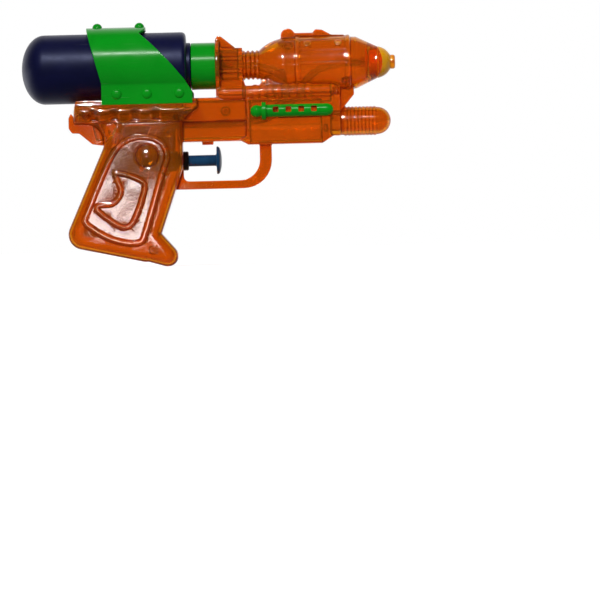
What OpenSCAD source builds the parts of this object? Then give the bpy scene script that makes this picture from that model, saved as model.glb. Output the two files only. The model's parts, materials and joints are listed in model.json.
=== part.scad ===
// Toy water squirter: a trigger-pumped water pistol with a screw-in tank.
// The muzzle points along +X, +Y is the left side and +Z is up.
// The origin is under the middle of the length, at the lowest point of the grip.

/* [Tank] */
// Outside diameter of the tank
tank_d = 41.4; // [38:0.2:44]
// Length of the tank from its rear end to its shoulder
tank_len = 98.4; // [85:0.2:115]
// Wall of the tank
tank_wall = 1.6; // [1:0.1:2.2]
// Length of the domed rear end
dome_len = 13.8; // [8:0.2:20]
// Radius of the front shoulder
shoulder_r = 4.2; // [2:0.1:6]
// Outside diameter of the neck
neck_d = 23.2; // [20:0.2:24]
// Wall of the neck
neck_wall = 1.8; // [1.2:0.1:2.4]
// Diameter of the bead behind the neck
bead_d = 28.4; // [26:0.2:32]
// Length of the bead
bead_len = 2.7; // [1.5:0.1:4]
// Thickness of the neck gasket
gasket_t = 1.5; // [1:0.1:2.5]
// Outside diameter of the dip tube
dip_d = 5; // [4:0.1:6]
// Length of the dip tube behind its seat
dip_len = 84; // [60:1:90]

/* [Collar and spigot] */
// Outside diameter of the neck collar
collar_d = 28; // [27.6:0.2:32]
// Length of the neck collar
collar_len = 14.4; // [12:0.2:18]
// Thickness of the collar's floor
collar_floor = 2.6; // [1.6:0.1:4]
// Diameter of the hub that passes through the body flange
hub_d = 12.4; // [11:0.1:13]
// Diameter of the lip that holds the hub in the flange
hub_lip_d = 14.6; // [13.6:0.1:15]
// Thickness of the hub lip
hub_lip_t = 1.8; // [1:0.1:2.4]
// Diameter of the spigot tube in the hub
spigot_d = 7.8; // [6:0.1:8.4]
// Thickness of the spigot disc in the collar
spigot_disc_t = 1.4; // [1:0.1:2]
// Length of the stub that carries the dip tube
stub_len = 6; // [4:0.1:8]
// How far the dip tube lies below the tank's middle
dip_drop = 5.5; // [4:0.1:6]

/* [Barrel] */
// Diameter of the flange that backs the collar
flange_d = 31.2; // [29:0.2:34]
// Thickness of that flange
flange_t = 2.4; // [1.8:0.1:3.6]
// Length of the box behind the bellows
box_len = 13.2; // [10:0.2:18]
// Height of the box
box_h = 20.4; // [19:0.2:24]
// Width of the box
box_w = 19.2; // [18.6:0.2:24]
// Thickness of the two ribs along each side of the box
box_rib_t = 1.2; // [0.8:0.1:1.8]
// How far those ribs stand proud
box_rib_rise = 0.8; // [0.4:0.1:1.2]
// Length of the bellows
bellows_len = 10.8; // [8:0.2:16]
// Diameter over the bellows ribs
bellows_d = 17.6; // [15:0.2:19]
// Number of bellows ribs
bellows_ribs = 4; // [3:1:6]
// Length of the cone that swells to the barrel
bulb_len = 13.8; // [10:0.2:20]
// How far that cone bows outwards
bulb_bow = 1.2; // [0.4:0.1:1.6]
// Diameter of the barrel
barrel_d = 31.2; // [29:0.2:35]
// Length of the barrel
barrel_len = 43.8; // [38:0.2:55]
// How far the side panel stands proud of the barrel
panel_rise = 0.8; // [0.4:0.1:1.4]
// Plain stretch of barrel behind the panel
panel_back = 7.8; // [5:0.2:12]
// Plain stretch of barrel in front of the panel
panel_front = 3.6; // [2:0.2:8]
// Width of the raised band at each end of the panel
band_w = 2.2; // [1.4:0.1:3]
// How far those bands stand proud of the panel
band_rise = 0.5; // [0.3:0.1:0.8]
// Length of the nose cone
nose_len = 12.6; // [10:0.2:18]
// Diameter at the front of the nose cone
nose_d = 19.2; // [18.6:0.2:22]

/* [Nozzle] */
// Length of the yellow cone
cone_len = 7.8; // [5:0.2:12]
// Diameter at the front of the yellow cone
cone_d = 9.8; // [9:0.1:12]
// Length of the jet tip
tip_len = 3; // [2.4:0.1:5]
// Diameter of the jet tip
tip_d = 8.4; // [7.2:0.1:8.8]
// Diameter of the jet hole
jet_d = 1.2; // [0.8:0.1:1.8]
// Diameter of the tip's stem inside the cone
tip_stem_d = 6; // [5:0.1:6.6]
// Diameter of the cone's spigot in the nose
cone_spigot_d = 16; // [14:0.1:16.4]
// Depth of the nose bore that takes the spigot
cone_seat = 5.8; // [4:0.1:8]
// Thickness of the lip that holds the spigot
cone_lip_t = 1.6; // [1:0.1:2.4]

/* [Body shells] */
// Wall of the body shells
wall = 1.8; // [1.4:0.1:2.2]
// Height of the grip under the deck
grip_h = 86.4; // [80:0.2:95]
// Width of the grip across the body
grip_w = 27.6; // [27.4:0.2:31]
// Length of the grip at its top
grip_len = 41; // [39:0.2:46]
// From the flange back to the grip's front face
grip_back = 20.4; // [18:0.2:24]
// Lean of the grip's back edge in degrees
grip_back_lean = 24; // [20:0.5:27]
// Lean of the grip's front edge in degrees
grip_front_lean = 19.2; // [16:0.2:21]
// Height of the front edge's bend above the butt
grip_bend = 59.4; // [57:0.2:62]
// Slope of the butt in degrees
butt_slope = 12.7; // [8:0.1:15]
// Rounding of the grip's edges
grip_edge = 5; // [3:0.1:6]
// Radius of the butt's heel
heel_r = 9; // [6:0.2:12]
// Radius of the butt's toe
toe_r = 6.4; // [5.4:0.1:8]
// Height of the deck under the tank
deck_h = 13; // [12.4:0.2:16]
// Width of the deck's top
deck_w = 37.4; // [36.4:0.2:39]
// Width over the deck's ledges
ledge_w = 46; // [44:0.2:48]
// Length of the deck behind the flange
deck_len = 86.4; // [80:0.2:95]
// Depth that the tank sinks into the deck
cradle = 1; // [0.6:0.1:1.4]
// Number of scoops along each ledge
scoops = 4; // [3:1:5]
// Width of the receiver
beam_w = 23; // [22:0.2:26]
// Depth of the receiver below the grip's top
beam_drop = 12.6; // [11:0.2:14]
// Width of the front block
block_w = 27; // [26:0.2:30]
// Length of the front block
block_len = 55.8; // [52:0.2:62]
// From the flange forward to the front block
block_start = 18; // [16:0.2:20]
// Depth of the front block below the grip's top
block_drop = 15; // [14:0.2:17]
// Diameter of the side rails
rail_d = 7.6; // [5:0.2:8]
// Number of ribs on each side rail
rail_ribs = 8; // [5:1:10]
// Diameter of the front rod
rod_d = 16.5; // [14:0.1:18]
// Reach of the front rod beyond the block
rod_len = 30.3; // [22:0.1:36]
// Number of ribs on the front rod
rod_ribs = 9; // [5:1:11]
// Height of the ribs on the rails and the rod
rib_rise = 0.6; // [0.3:0.1:0.8]

/* [Trigger and guard] */
// Clear length of the guard's opening
guard_len = 45.6; // [42:0.2:50]
// Clear height of the guard's opening
guard_gap = 23.4; // [22:0.2:26]
// Thickness of the guard's bottom
guard_t = 4.8; // [3.6:0.1:6]
// Thickness of the guard's front post
post_t = 7.2; // [5:0.1:9]
// Width of the guard
guard_w = 9; // [7:0.2:12]
// Inside radius of the guard's front corner
guard_r = 12; // [8:0.2:16]
// Travel of the trigger
stroke = 12; // [8:0.5:12.5]
// Height of the trigger above the guard's bottom
trigger_lift = 12.3; // [11:0.1:13]
// Diameter of the trigger's stem
stem_d = 6.6; // [5.6:0.1:7]
// Reach of the stem in front of the gland nut
stem_len = 17.1; // [16:0.1:22]
// Diameter of the finger plate
plate_d = 16.8; // [14:0.2:18]
// Thickness of the finger plate
plate_t = 2.7; // [2:0.1:4]

/* [Pump] */
// Bore of the pump cylinder
bore_d = 10; // [9.4:0.1:10.2]
// Wall of the pump cylinder
cyl_wall = 1.2; // [0.9:0.1:1.3]
// Diameter of the gland nut outside the body
gland_d = 11.4; // [11:0.1:14]
// Length of the gland nut outside the body
gland_len = 3; // [2:0.1:4]
// Depth of the gland nut inside the cylinder
gland_depth = 3.6; // [2.4:0.1:4]
// Length of the piston
piston_len = 5.5; // [4.5:0.1:6]
// Thickness of the piston ring
ring_t = 1.5; // [1.2:0.1:1.8]
// Diameter of the stem's tail in the piston
tail_d = 3.6; // [3:0.1:4]
// Wire of the return spring
wire_d = 0.7; // [0.5:0.05:0.8]
// Turns of the return spring
spring_turns = 6; // [4:1:6]
// Length of the return spring when the trigger is pulled
spring_room = 5.6; // [5:0.1:7]
// Height of the valve block
block_h = 18; // [17.6:0.2:19]
// Thickness of the valve block along the gun
valve_t = 10; // [9.4:0.1:10.4]
// Width of the valve block
valve_w = 13; // [12:0.1:14]
// Depth of the valve block's plug in the cylinder
plug_len = 4.5; // [3.6:0.1:5]
// Diameter of the valve balls
ball_d = 3.8; // [3.4:0.1:4]
// Lift of the valve balls
ball_lift = 1.2; // [0.8:0.1:1.3]
// Diameter of the water passages
passage_d = 2.4; // [2:0.1:2.6]
// Depth of the fittings in the valve block
fitting_depth = 4; // [3.6:0.1:4.4]
// Diameter of the fittings in the valve block
fitting_d = 6.8; // [6.6:0.1:7.4]
// Outside diameter of the hoses
hose_d = 5.2; // [4.6:0.1:5.3]
// Diameter of the hose barbs
barb_d = 3.1; // [2.8:0.1:3.3]
// Length of the hose barbs
barb_len = 6; // [4:0.1:7]
// Bore of the hose barbs
barb_bore = 1.8; // [1.4:0.1:2]

/* [Saddle and clips] */
// Sheet thickness of the tank saddle
strap_t = 1.6; // [1.2:0.1:2]
// Clear space between the tank and the saddle's sides
strap_gap = 1.1; // [0.8:0.1:1.6]
// Rise of the saddle's arch above the tank's middle
strap_rise = 0.9; // [0.6:0.1:1.2]
// Length of the saddle's side flanges
saddle_len = 54; // [46:0.2:60]
// Length of the saddle's top
saddle_top_len = 35.4; // [28:0.2:42]
// From the flange back to the saddle's front corner
saddle_back = 13.8; // [12:0.2:18]
// Height of the saddle's side at its front corner
saddle_front_h = 7.2; // [6:0.2:9]
// Height of the saddle's side at its rear corner
saddle_rear_h = 12.6; // [10:0.2:14]
// How far the saddle's top reaches behind its side
saddle_overhang = 9; // [6:0.2:12]
// How far the saddle's sloping front edge bows forwards
saddle_bow = 1.6; // [0.6:0.1:2.4]
// Diameter of the saddle's rivet heads
rivet_d = 6; // [4:0.1:7]
// Height of the rivet heads
rivet_h = 1.4; // [0.8:0.1:1.8]
// Diameter of the side clips
clip_d = 7.5; // [6:0.1:8.4]
// Length of the side clips
clip_len = 49.2; // [44:0.2:52]
// Side of the square windows in the side clips
window = 3.3; // [2.4:0.1:4]
// Number of windows in each side clip
windows = 4; // [3:1:5]

/* [Fits] */
// Clearance of pieces that are fixed together
fit = 0.05; // [0.02:0.01:0.1]
// Clearance of pieces that slide in each other
slide_fit = 0.1; // [0.05:0.01:0.15]
// Clearance round the tank
tank_fit = 0.3; // [0.2:0.05:0.5]

/* [Hidden] */
$fn = 64;

// Colours of the mouldings
orange = [0.80, 0.33, 0.04];
green = [0.03, 0.55, 0.09];
navy = [0.05, 0.07, 0.22];
yellow = [0.80, 0.62, 0.10];
blue = [0.11, 0.26, 0.38];
black = [0.05, 0.05, 0.05];
pale = [0.80, 0.80, 0.76];
steel = [0.60, 0.61, 0.63];
hose_grey = [0.85, 0.86, 0.84];

// Stations along the barrel line, from the flange
rear_len = collar_len + tank_fit + bead_len + tank_len;
front_len = flange_t + box_len + bellows_len + bulb_len + barrel_len + nose_len + cone_len + tip_len;
flange_x = (rear_len - front_len) / 2;
box_x = flange_x + flange_t;
bellows_x = box_x + box_len;
bulb_x = bellows_x + bellows_len;
barrel_x = bulb_x + bulb_len;
nose_x = barrel_x + barrel_len;
cone_x = nose_x + nose_len;
tip_x = cone_x + cone_len;
muzzle_x = tip_x + tip_len;
collar_x = flange_x - collar_len;
bead_x = collar_x - tank_fit;
shoulder_x = bead_x - bead_len;
tank_x = shoulder_x - tank_len;

// Heights
deck_z = grip_h + deck_h;
tank_r = tank_d / 2;
barrel_z = deck_z + tank_r - cradle;
beam_z = grip_h - beam_drop;
beam_top = deck_z + 0.5;
block_z = grip_h - block_drop;
guard_z = beam_z - guard_gap;
trigger_z = guard_z + trigger_lift;
rod_z = grip_h - 2.2;
rail_z = barrel_z - barrel_d / 2 - 0.9;
rail_y = block_w / 2 - 2.1;
clip_z = grip_h + 4.7;

// Collar and neck seats, from the floor of the collar's cup back to the neck
cup_floor_x = flange_x - collar_floor;
disc_x = cup_floor_x - spigot_disc_t;
gasket_x = disc_x - tank_fit - gasket_t;
neck_end_x = gasket_x - tank_fit;
cup_d = neck_d + 2 * tank_fit;

// Deck and front block stations
deck_end_x = flange_x - deck_len;
deck_front_x = flange_x - 11.4;
ledge_z = deck_z - 2.8;
block_x = flange_x + block_start;
block_end_x = block_x + block_len;

// Grip, guard and pump stations
grip_x = flange_x - grip_back;
toe_x = grip_x - 12.3;
gland_x = grip_x + gland_len;
plate_x = gland_x + stem_len;
cyl_x = grip_x - wall - 1.4;
cyl_d = bore_d + 2 * cyl_wall;
piston_x = grip_x - gland_depth - 2.4;
piston_back_x = piston_x - piston_len;
plug_x = piston_back_x - stroke - spring_room;
cyl_end_x = plug_x - plug_len;
valve_x = cyl_end_x - valve_t / 2;

// Seats of the valve balls: a 45 degree cone that the ball nearly touches
seat_gap = 0.05;
chamber_d = ball_d + 1;
seat_rise = (chamber_d - passage_d) / 2;
seat_height = (ball_d / 2 + seat_gap) * sqrt(2) - passage_d / 2;
inlet_seat_z = trigger_z - block_h / 2 + fitting_depth - seat_rise;
inlet_ball_z = inlet_seat_z + seat_height;
outlet_seat_z = trigger_z + block_h / 2 - fitting_depth - 3;
outlet_ball_z = outlet_seat_z + seat_height;
ball_room = ball_d / 2 + ball_lift + 0.25;
barb_flange_t = 2;
inlet_hose_z = trigger_z - block_h / 2 - barb_flange_t - fit;
outlet_hose_z = trigger_z + block_h / 2 + barb_flange_t + fit;
spigot_end_x = box_x + hub_lip_t + 0.6;
tip_stem_x = cone_x - cone_seat - cone_lip_t - 3;

// Routes of the hoses, from barb to barb
suction_route = [
    [spigot_end_x, 0, barrel_z], [spigot_end_x + 4, 0, barrel_z], [spigot_end_x + 8, 0, barrel_z],
    [bulb_x - 3.6, -0.4, barrel_z - 0.2], [bulb_x + 6.4, -1.8, barrel_z - 2.8],
    [bulb_x + 13, -3.4, barrel_z - 10],
    [bulb_x + 13, -4, barrel_z - 21], [block_x + 15, -4, grip_h + 4], [block_x + 2, -4, grip_h - 0.6],
    [flange_x + 4, -4, grip_h - 1.8], [grip_x + 8, -4, grip_h - 1.6], [grip_x - 4, -4, grip_h - 1],
    [grip_x - 13, -5.8, grip_h - 1.2], [grip_x - 18.6, -8.2, grip_h - 8], [grip_x - 18.4, -9, trigger_z + 6],
    [grip_x - 18.2, -9, trigger_z - 2.8], [grip_x - 20, -8.2, trigger_z - 13.6],
    [grip_x - 24.8, -5.4, trigger_z - 22.6], [grip_x - 31.4, -2.2, trigger_z - 26.6],
    [valve_x + 1.8, -0.4, inlet_hose_z - 13.6],
    [valve_x, 0, inlet_hose_z - 8], [valve_x, 0, inlet_hose_z - 4], [valve_x, 0, inlet_hose_z]
];
delivery_route = [
    [valve_x, 0, outlet_hose_z], [valve_x, 0, outlet_hose_z + 3.2], [valve_x, 0, outlet_hose_z + 6.4],
    [valve_x + 1.8, 0.8, grip_h - 0.4], [valve_x + 7.8, 2.6, grip_h + 2.2], [grip_x - 21.8, 4, grip_h + 1.4],
    [grip_x - 8.8, 4, grip_h - 0.8], [grip_x + 6.2, 4, grip_h - 1.6], [flange_x + 6, 4, grip_h - 1.8],
    [block_x + 3, 4, grip_h - 0.8], [block_x + 16, 4, grip_h + 3], [block_x + 26, 4, grip_h + 10],
    [barrel_x + 11, 3, barrel_z - 14], [barrel_x + 17.6, 1.5, barrel_z - 6],
    [tip_stem_x - 19, 0.3, barrel_z - 1.4], [tip_stem_x - 11, 0, barrel_z],
    [tip_stem_x - 5.5, 0, barrel_z], [tip_stem_x - fit, 0, barrel_z]
];
hose_sides = 8;
hose_steps = 2;

// Points of an arc from a0 to a1 degrees, in n steps
function arc(cx, cy, r, a0, a1, n = 8) =
    [for (i = [0:n]) let (a = a0 + (a1 - a0) * i / n) [cx + r * cos(a), cy + r * sin(a)]];

// Profile [r, x] of n ribs from x0 to x1, between the radii low and high
function ribbed(low, high, x0, x1, n) =
    let (pitch = (x1 - x0) / n)
    [for (i = [0:n - 1], p = [[low, 0.1], [high, 0.3], [high, 0.7], [low, 0.9]])
        [p[0], x0 + pitch * (i + p[1])]];

// Points between p and q on a curve that bows out by bow, to the right of the way from p to q
function bowed(p, q, bow, n = 6) =
    let (d = q - p, out = [d[1], -d[0]] / norm(d))
    [for (i = [1:n - 1]) let (t = i / n) p + d * t + out * bow * 4 * t * (1 - t)];

// A slab with the side outline pts [x, z], between y0 and y1
module slab(pts, y0, y1) {
    translate([0, y1, 0])
        rotate([90, 0, 0])
            linear_extrude(y1 - y0) polygon(pts);
}

// A bar with the cross-section pts [y, z], between x0 and x1
module bar(pts, x0, x1) {
    translate([x0, 0, 0])
        rotate([90, 0, 90])
            linear_extrude(x1 - x0) polygon(pts);
}

// A shape turned about an axis along X at [y, z], with the profile pts [r, x]
module turned(pts, z, y = 0, sweep = 360) {
    translate([0, y, z])
        rotate([0, 90, 0])
            rotate_extrude(angle = sweep) polygon(pts);
}

// A shape turned about an upright axis at [x, 0], with the profile pts [r, z]
module upright(pts, x) {
    translate([x, 0, 0]) rotate_extrude() polygon(pts);
}

// A cylinder along X from x0 to x1 at the height z
module rod_x(d, x0, x1, z, y = 0) {
    translate([x0, y, z])
        rotate([0, 90, 0]) cylinder(d = d, h = x1 - x0);
}

// A cylinder along Y from y0 to y1
module rod_y(d, x, z, y0, y1) {
    translate([x, y1, z])
        rotate([90, 0, 0]) cylinder(d = d, h = y1 - y0);
}

// A low round head that rises h along Z, sunk a little way into its seat
module dome(d, h, sink = 0.4) {
    ball_r = (d * d / 4 + h * h) / (2 * h);
    rotate_extrude() {
        intersection() {
            translate([0, h - ball_r]) circle(ball_r);
            translate([0, -sink]) square([d / 2, h + sink]);
        }
    }
}

// Centre of the circle of radius r that rounds the corner q between p and s
function round_centre(p, q, s, r) =
    let (u = (p - q) / norm(p - q), v = (s - q) / norm(s - q), half = acos(u * v) / 2)
    q + (u + v) / norm(u + v) * r / sin(half);

// A convex slab from y = y0 out to y = half, with its outer edge rounded by edge.
// corners holds [x, z, radius of the corner].
module rounded_slab(corners, y0, half, edge, inset = 0) {
    n = len(corners);
    spots = [for (c = corners) [c[0], c[1]]];
    hull() {
        for (i = [0:n - 1], a = [0:15:90]) {
            c = round_centre(spots[(i + n - 1) % n], spots[i], spots[(i + 1) % n], corners[i][2]);
            y1 = half - inset - (edge - inset) * (1 - sin(a));
            r = corners[i][2] - inset - (edge - inset) * (1 - cos(a));
            translate([c[0], y1, c[1]])
                rotate([90, 0, 0]) cylinder(r = r, h = y1 - y0, $fn = 32);
        }
    }
}

// Outline of the grip, and of the toe in front of its butt, as convex corners
grip_roof = grip_h + 5;
grip_back_x = grip_x - grip_len + (grip_roof - grip_h) * tan(grip_back_lean);
toe_foot = 2;
front_foot_x = grip_x - (grip_bend - toe_foot) * tan(grip_front_lean);
heel_drop = tan(butt_slope);
heel_z = (toe_x - grip_back_x + grip_roof * tan(grip_back_lean)) * heel_drop
    / (1 + heel_drop * tan(grip_back_lean));
heel_x = grip_back_x - (grip_roof - heel_z) * tan(grip_back_lean);
grip_corners = [
    [grip_x, grip_roof, grip_edge + 0.5],
    [grip_x, grip_bend, grip_edge + 0.5],
    [front_foot_x, toe_foot, grip_edge + 0.5],
    [heel_x, heel_z, heel_r],
    [grip_back_x, grip_roof, grip_edge + 0.5]
];

// Pins that join the shells: [x, z, half width of the body there]
pins = [
    [grip_x - 3, grip_h + 4.2, deck_w / 2 - 1],
    [grip_x - 9, grip_h - 6.6, grip_w / 2],
    [flange_x + 5.4, grip_h + 5.4, beam_w / 2],
    [block_end_x - 9, grip_h - 5, block_w / 2],
    [barrel_x + 3.6, barrel_z + 9.6, barrel_d / 2 - 4.6],
    [nose_x - 6, barrel_z - 9.6, barrel_d / 2 - 4.6],
    [heel_x + 20, heel_z + 8.2, grip_w / 2],
    [toe_x - 7, toe_r + 3.6, grip_w / 2],
    [deck_end_x + 9, grip_h + 6, deck_w / 2]
];
pin_d = 2.4;
boss_d = 4;
pin_reach = 4;

module grip_form(y0, inset) {
    rounded_slab(grip_corners, y0, grip_w / 2, grip_edge, inset);
}

module toe_form(y0, inset) {
    spots = [[toe_x + 1.5, toe_r], [toe_x - 8, toe_r + 11], [toe_x - 9, toe_r + 3]];
    edge = min(grip_edge, toe_r - 0.4);
    hull() {
        for (s = spots, a = [0:15:90]) {
            y1 = grip_w / 2 - inset - (edge - inset) * (1 - sin(a));
            translate([s[0], y1, s[1]])
                rotate([90, 0, 0])
                    cylinder(r = toe_r - inset - (edge - inset) * (1 - cos(a)), h = y1 - y0, $fn = 32);
        }
    }
}

// Barrel line of the body: flange, bellows, bulb, barrel with its panel, and nose
panel_x = barrel_x + panel_back;
panel_end_x = nose_x - panel_front;

module barrel_form() {
    r = barrel_d / 2;
    low = bellows_d / 2 - 1;
    panel_r = r + panel_rise;
    band_r = panel_r + band_rise;
    turned(concat(
        [[0, flange_x], [flange_d / 2, flange_x], [flange_d / 2, box_x], [low, box_x]],
        ribbed(low, bellows_d / 2, bellows_x, bulb_x, bellows_ribs),
        [[low, bulb_x], [bellows_d / 2, bulb_x]],
        bowed([bellows_d / 2, bulb_x], [r, barrel_x], bulb_bow),
        [[r, barrel_x], [r, panel_x], [band_r, panel_x], [band_r, panel_x + band_w],
            [panel_r, panel_x + band_w]],
        [[panel_r, panel_end_x - band_w], [band_r, panel_end_x - band_w], [band_r, panel_end_x],
            [r, panel_end_x]],
        [[r, nose_x], [nose_d / 2, cone_x], [0, cone_x]]
    ), barrel_z, 0, 180);
}

module barrel_cavity() {
    r = barrel_d / 2 - wall;
    low = bellows_d / 2 - 1 - wall;
    lip_x = cone_x - cone_seat;
    lip_r = r + (nose_d / 2 - barrel_d / 2) * (lip_x - nose_x) / nose_len;
    turned([
        [0, box_x], [low, box_x], [low, bulb_x + wall], [r, barrel_x + wall], [r, nose_x - wall / 2],
        [lip_r, lip_x], [0, lip_x]
    ], barrel_z);
}

// Box between the flange and the bellows, and the web that carries it
module box_form() {
    w = box_w / 2;
    h = box_h / 2;
    c = 2.4;
    translate([0, 0, barrel_z])
        bar([[0, -h], [w - c, -h], [w, c - h], [w, h - c], [w - c, h], [0, h]], box_x - 0.6, bellows_x + 0.6);
    for (rise = [0.37, -0.37])
        translate([box_x - 0.6, 0, barrel_z + rise * h - box_rib_t / 2])
            cube([box_len + 1.2, w + box_rib_rise, box_rib_t]);
    web_w = 8.4;
    slab([
        [flange_x, beam_top - 1], [bellows_x, beam_top - 1], [bellows_x, barrel_z - box_h / 2 + 1],
        [flange_x, barrel_z - box_h / 2 + 1]
    ], 0, web_w);
    web_z = barrel_z - bellows_d / 2 + 1.6;
    sill_z = barrel_z - 12.3;
    slab([
        [bellows_x - 1, beam_top - 1], [bulb_x + 8, beam_top - 1], [bulb_x + 8, web_z], [bulb_x + 3, web_z],
        [bulb_x - 0.6, sill_z], [bellows_x + 2, sill_z], [bellows_x + 0.6, web_z], [bellows_x - 1, web_z]
    ], 0, web_w / 2);
}

module box_cavity() {
    w = box_w / 2 - wall;
    h = box_h / 2 - wall;
    translate([0, 0, barrel_z])
        bar([[-w, -h], [w, -h], [w, h], [-w, h]], box_x, bellows_x - wall);
}

// Sight knob, ridge and hump along the top of the barrel, and the fin on the flange
module top_form() {
    half = 3.2;
    foot = barrel_z + barrel_d / 2 - 2;
    knob_x = barrel_x + 3.4;
    knob_r = 4.2;
    knob_z = barrel_z + barrel_d / 2 + 5.6 - knob_r;
    ridge = barrel_z + barrel_d / 2 + 2.8;
    hump = ridge + 2;
    slab(concat(
        [[knob_x - knob_r, foot]], [[knob_x + knob_r, foot]], arc(knob_x, knob_z, knob_r, 0, 180, 12)
    ), 0, half);
    slab([
        [knob_x, foot], [nose_x - 5, foot], [nose_x - 7, ridge - 1.6], [nose_x - 14.5, ridge - 1.4],
        [nose_x - 20, hump - 0.3], [nose_x - 24, hump], [nose_x - 25.6, ridge], [knob_x, ridge]
    ], 0, half);
    fin_z = barrel_z + flange_d / 2 + 2.2;
    slab([
        [flange_x, barrel_z + box_h / 2 - 2], [box_x + 9.4, barrel_z + box_h / 2 - 2],
        [box_x + 9.4, barrel_z + box_h / 2 + 0.4], [box_x + 1.4, fin_z - 0.6], [flange_x + 1.6, fin_z],
        [flange_x, fin_z - 2.4]
    ], 0, 5);
}

// Receiver between the grip and the front block
module beam_form() {
    w = beam_w / 2;
    shelf = grip_h - 0.6;
    bar([[0, beam_z], [w - 1.6, beam_z], [w - 1.6, shelf], [w, shelf + 0.8], [w, beam_top], [0, beam_top]],
        grip_x - 6, flange_x + block_start + 1);
    slab([[grip_x + 11.4, beam_z + 1], [grip_x + 11.4, beam_z - 1.8],
        [grip_x + 18, beam_z - 1.8], [grip_x + 18, beam_z + 1]], 0, 4);
}

module beam_cavity() {
    w = beam_w / 2 - 1.6 - wall;
    bar([[-w, beam_z + wall], [w, beam_z + wall], [w, beam_top - wall], [-w, beam_top - wall]],
        grip_x - 12, flange_x + block_start + 3);
}

// Front block, as a section with a chamfer below and a side outline
module block_form() {
    w = block_w / 2;
    web_w = 9.6;
    intersection() {
        bar([[0, block_z], [w - 4, block_z], [w, block_z + 9.6], [w, beam_top - 0.3], [web_w, beam_top - 0.3],
            [web_w, barrel_z - 9], [0, barrel_z - 9]], block_x - 5, block_end_x);
        slab([[block_x - 4, beam_z + 0.2], [block_x + 0.6, block_z], [block_end_x - 10.8, block_z],
            [block_end_x - 4.2, block_z + 4.2], [block_end_x, block_z + 4.2], [block_end_x, barrel_z],
            [bulb_x + 6, barrel_z], [bulb_x - 1, beam_top + 5], [block_x, beam_top + 5],
            [block_x, beam_z + 2.6]], 0, w);
    }
}

module block_cavity() {
    w = block_w / 2 - wall;
    web_w = 9.6 - wall;
    bar([[-w + 4, block_z + wall], [w - 4, block_z + wall], [w, block_z + wall + 9.6],
        [w, beam_top - 0.3 - wall],
        [-w, beam_top - 0.3 - wall], [-w, block_z + wall + 9.6]], block_x + wall, block_end_x - 11);
    bar([[-web_w, beam_top - 4], [web_w, beam_top - 4], [web_w, barrel_z - 6], [-web_w, barrel_z - 6]],
        bulb_x + 4, block_end_x - 5);
}

// Ribbed rail in the crook between the barrel and the block
module rail_form() {
    r = rail_d / 2;
    x0 = flange_x + 1.2;
    x1 = block_end_x - 1.2;
    turned(concat(
        [for (p = arc(x0 + r, 0, r, 180, 90, 6)) [p[1], p[0]]],
        ribbed(r, r + rib_rise, x0 + 20, x1 - 15, rail_ribs),
        [for (p = arc(x1 - r, 0, r, 90, 0, 6)) [p[1], p[0]]]
    ), rail_z, rail_y);
}

// Ribbed front rod with its round end, and the bracket above it
module rod_form(inset) {
    r = rod_d / 2 - inset;
    x0 = block_end_x - 6;
    x1 = block_end_x + rod_len;
    turned(concat(
        [[0, x0], [r, x0]],
        inset > 0 ? [] : ribbed(r, r + rib_rise, block_end_x + 2, x1 - r - 0.5, rod_ribs),
        [for (p = arc(x1 - inset - r, 0, r, 90, 0, 8)) [p[1], p[0]]]
    ), rod_z, 0, inset > 0 ? 360 : 180);
}

module bracket_form() {
    slab([[block_end_x - 2, rod_z + 6], [block_end_x + 2, rod_z + 8], [block_end_x + 8.6, barrel_z - 19],
        [block_end_x + 8.4, barrel_z - 13.4], [block_end_x - 2, barrel_z - 12]], 0, 6.4);
}

// Deck under the tank: a ledged section with a side outline
ledge_end_x = deck_end_x + 1.6;

module deck_form() {
    top = deck_w / 2;
    out = ledge_w / 2;
    rear_r = 6;
    intersection() {
        bar([[0, grip_h], [grip_w / 2 + 0.8, grip_h], [out - 0.8, ledge_z - 5], [out, ledge_z - 3.6],
            [top + strap_t + 0.5, ledge_z], [top, ledge_z], [top, deck_z], [0, deck_z]],
            deck_end_x - 2, deck_front_x + 1);
        slab([[ledge_end_x, ledge_z - 4], [ledge_end_x, grip_h - 1], [deck_front_x - 8, grip_h - 1],
            [deck_front_x - 7.8, grip_h + 1.6], [deck_front_x, ledge_z - 2], [deck_front_x, deck_z + 1],
            [ledge_end_x + 2, deck_z + 1], [ledge_end_x + 1, ledge_z + 1]], -1, out + 1);
        translate([0, 0, grip_h - 2])
            linear_extrude(deck_h + 4) polygon(concat(
                [[ledge_end_x - 1, -1], [deck_front_x + 2, -1], [deck_front_x + 2, out + 1]],
                arc(ledge_end_x + rear_r, out - rear_r, rear_r, 90, 180)
            ));
    }
}

module deck_cavity() {
    top = deck_w / 2 - wall - 0.6;
    roof = deck_z - cradle - tank_fit - wall;
    bar([[-top, ledge_z - 3.6], [1 - grip_w / 2, grip_h + wall], [grip_w / 2 - 1, grip_h + wall],
        [top, ledge_z - 3.6], [top, roof], [-top, roof]], ledge_end_x + wall + 1, deck_front_x - 8);
}

// Round scoops along the slope under the ledge
module scoop_cuts() {
    first = deck_end_x + 13.6;
    last = deck_front_x - 24.6;
    low = [grip_w / 2 + 0.8, grip_h];
    high = [ledge_w / 2 - 0.8, ledge_z - 5];
    tilt = atan2(high[1] - low[1], high[0] - low[0]);
    scoop_r = 3.4;
    depth = 2.2;
    for (i = [0:scoops - 1])
        translate([first + (last - first) * i / (scoops - 1), (low[0] + high[0]) / 2, (low[1] + high[1]) / 2])
            rotate([tilt - 90, 0, 0])
                translate([0, scoop_r - depth, -norm(high - low) / 2 + 0.2]) cylinder(r = scoop_r, h = 20);
}

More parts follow.
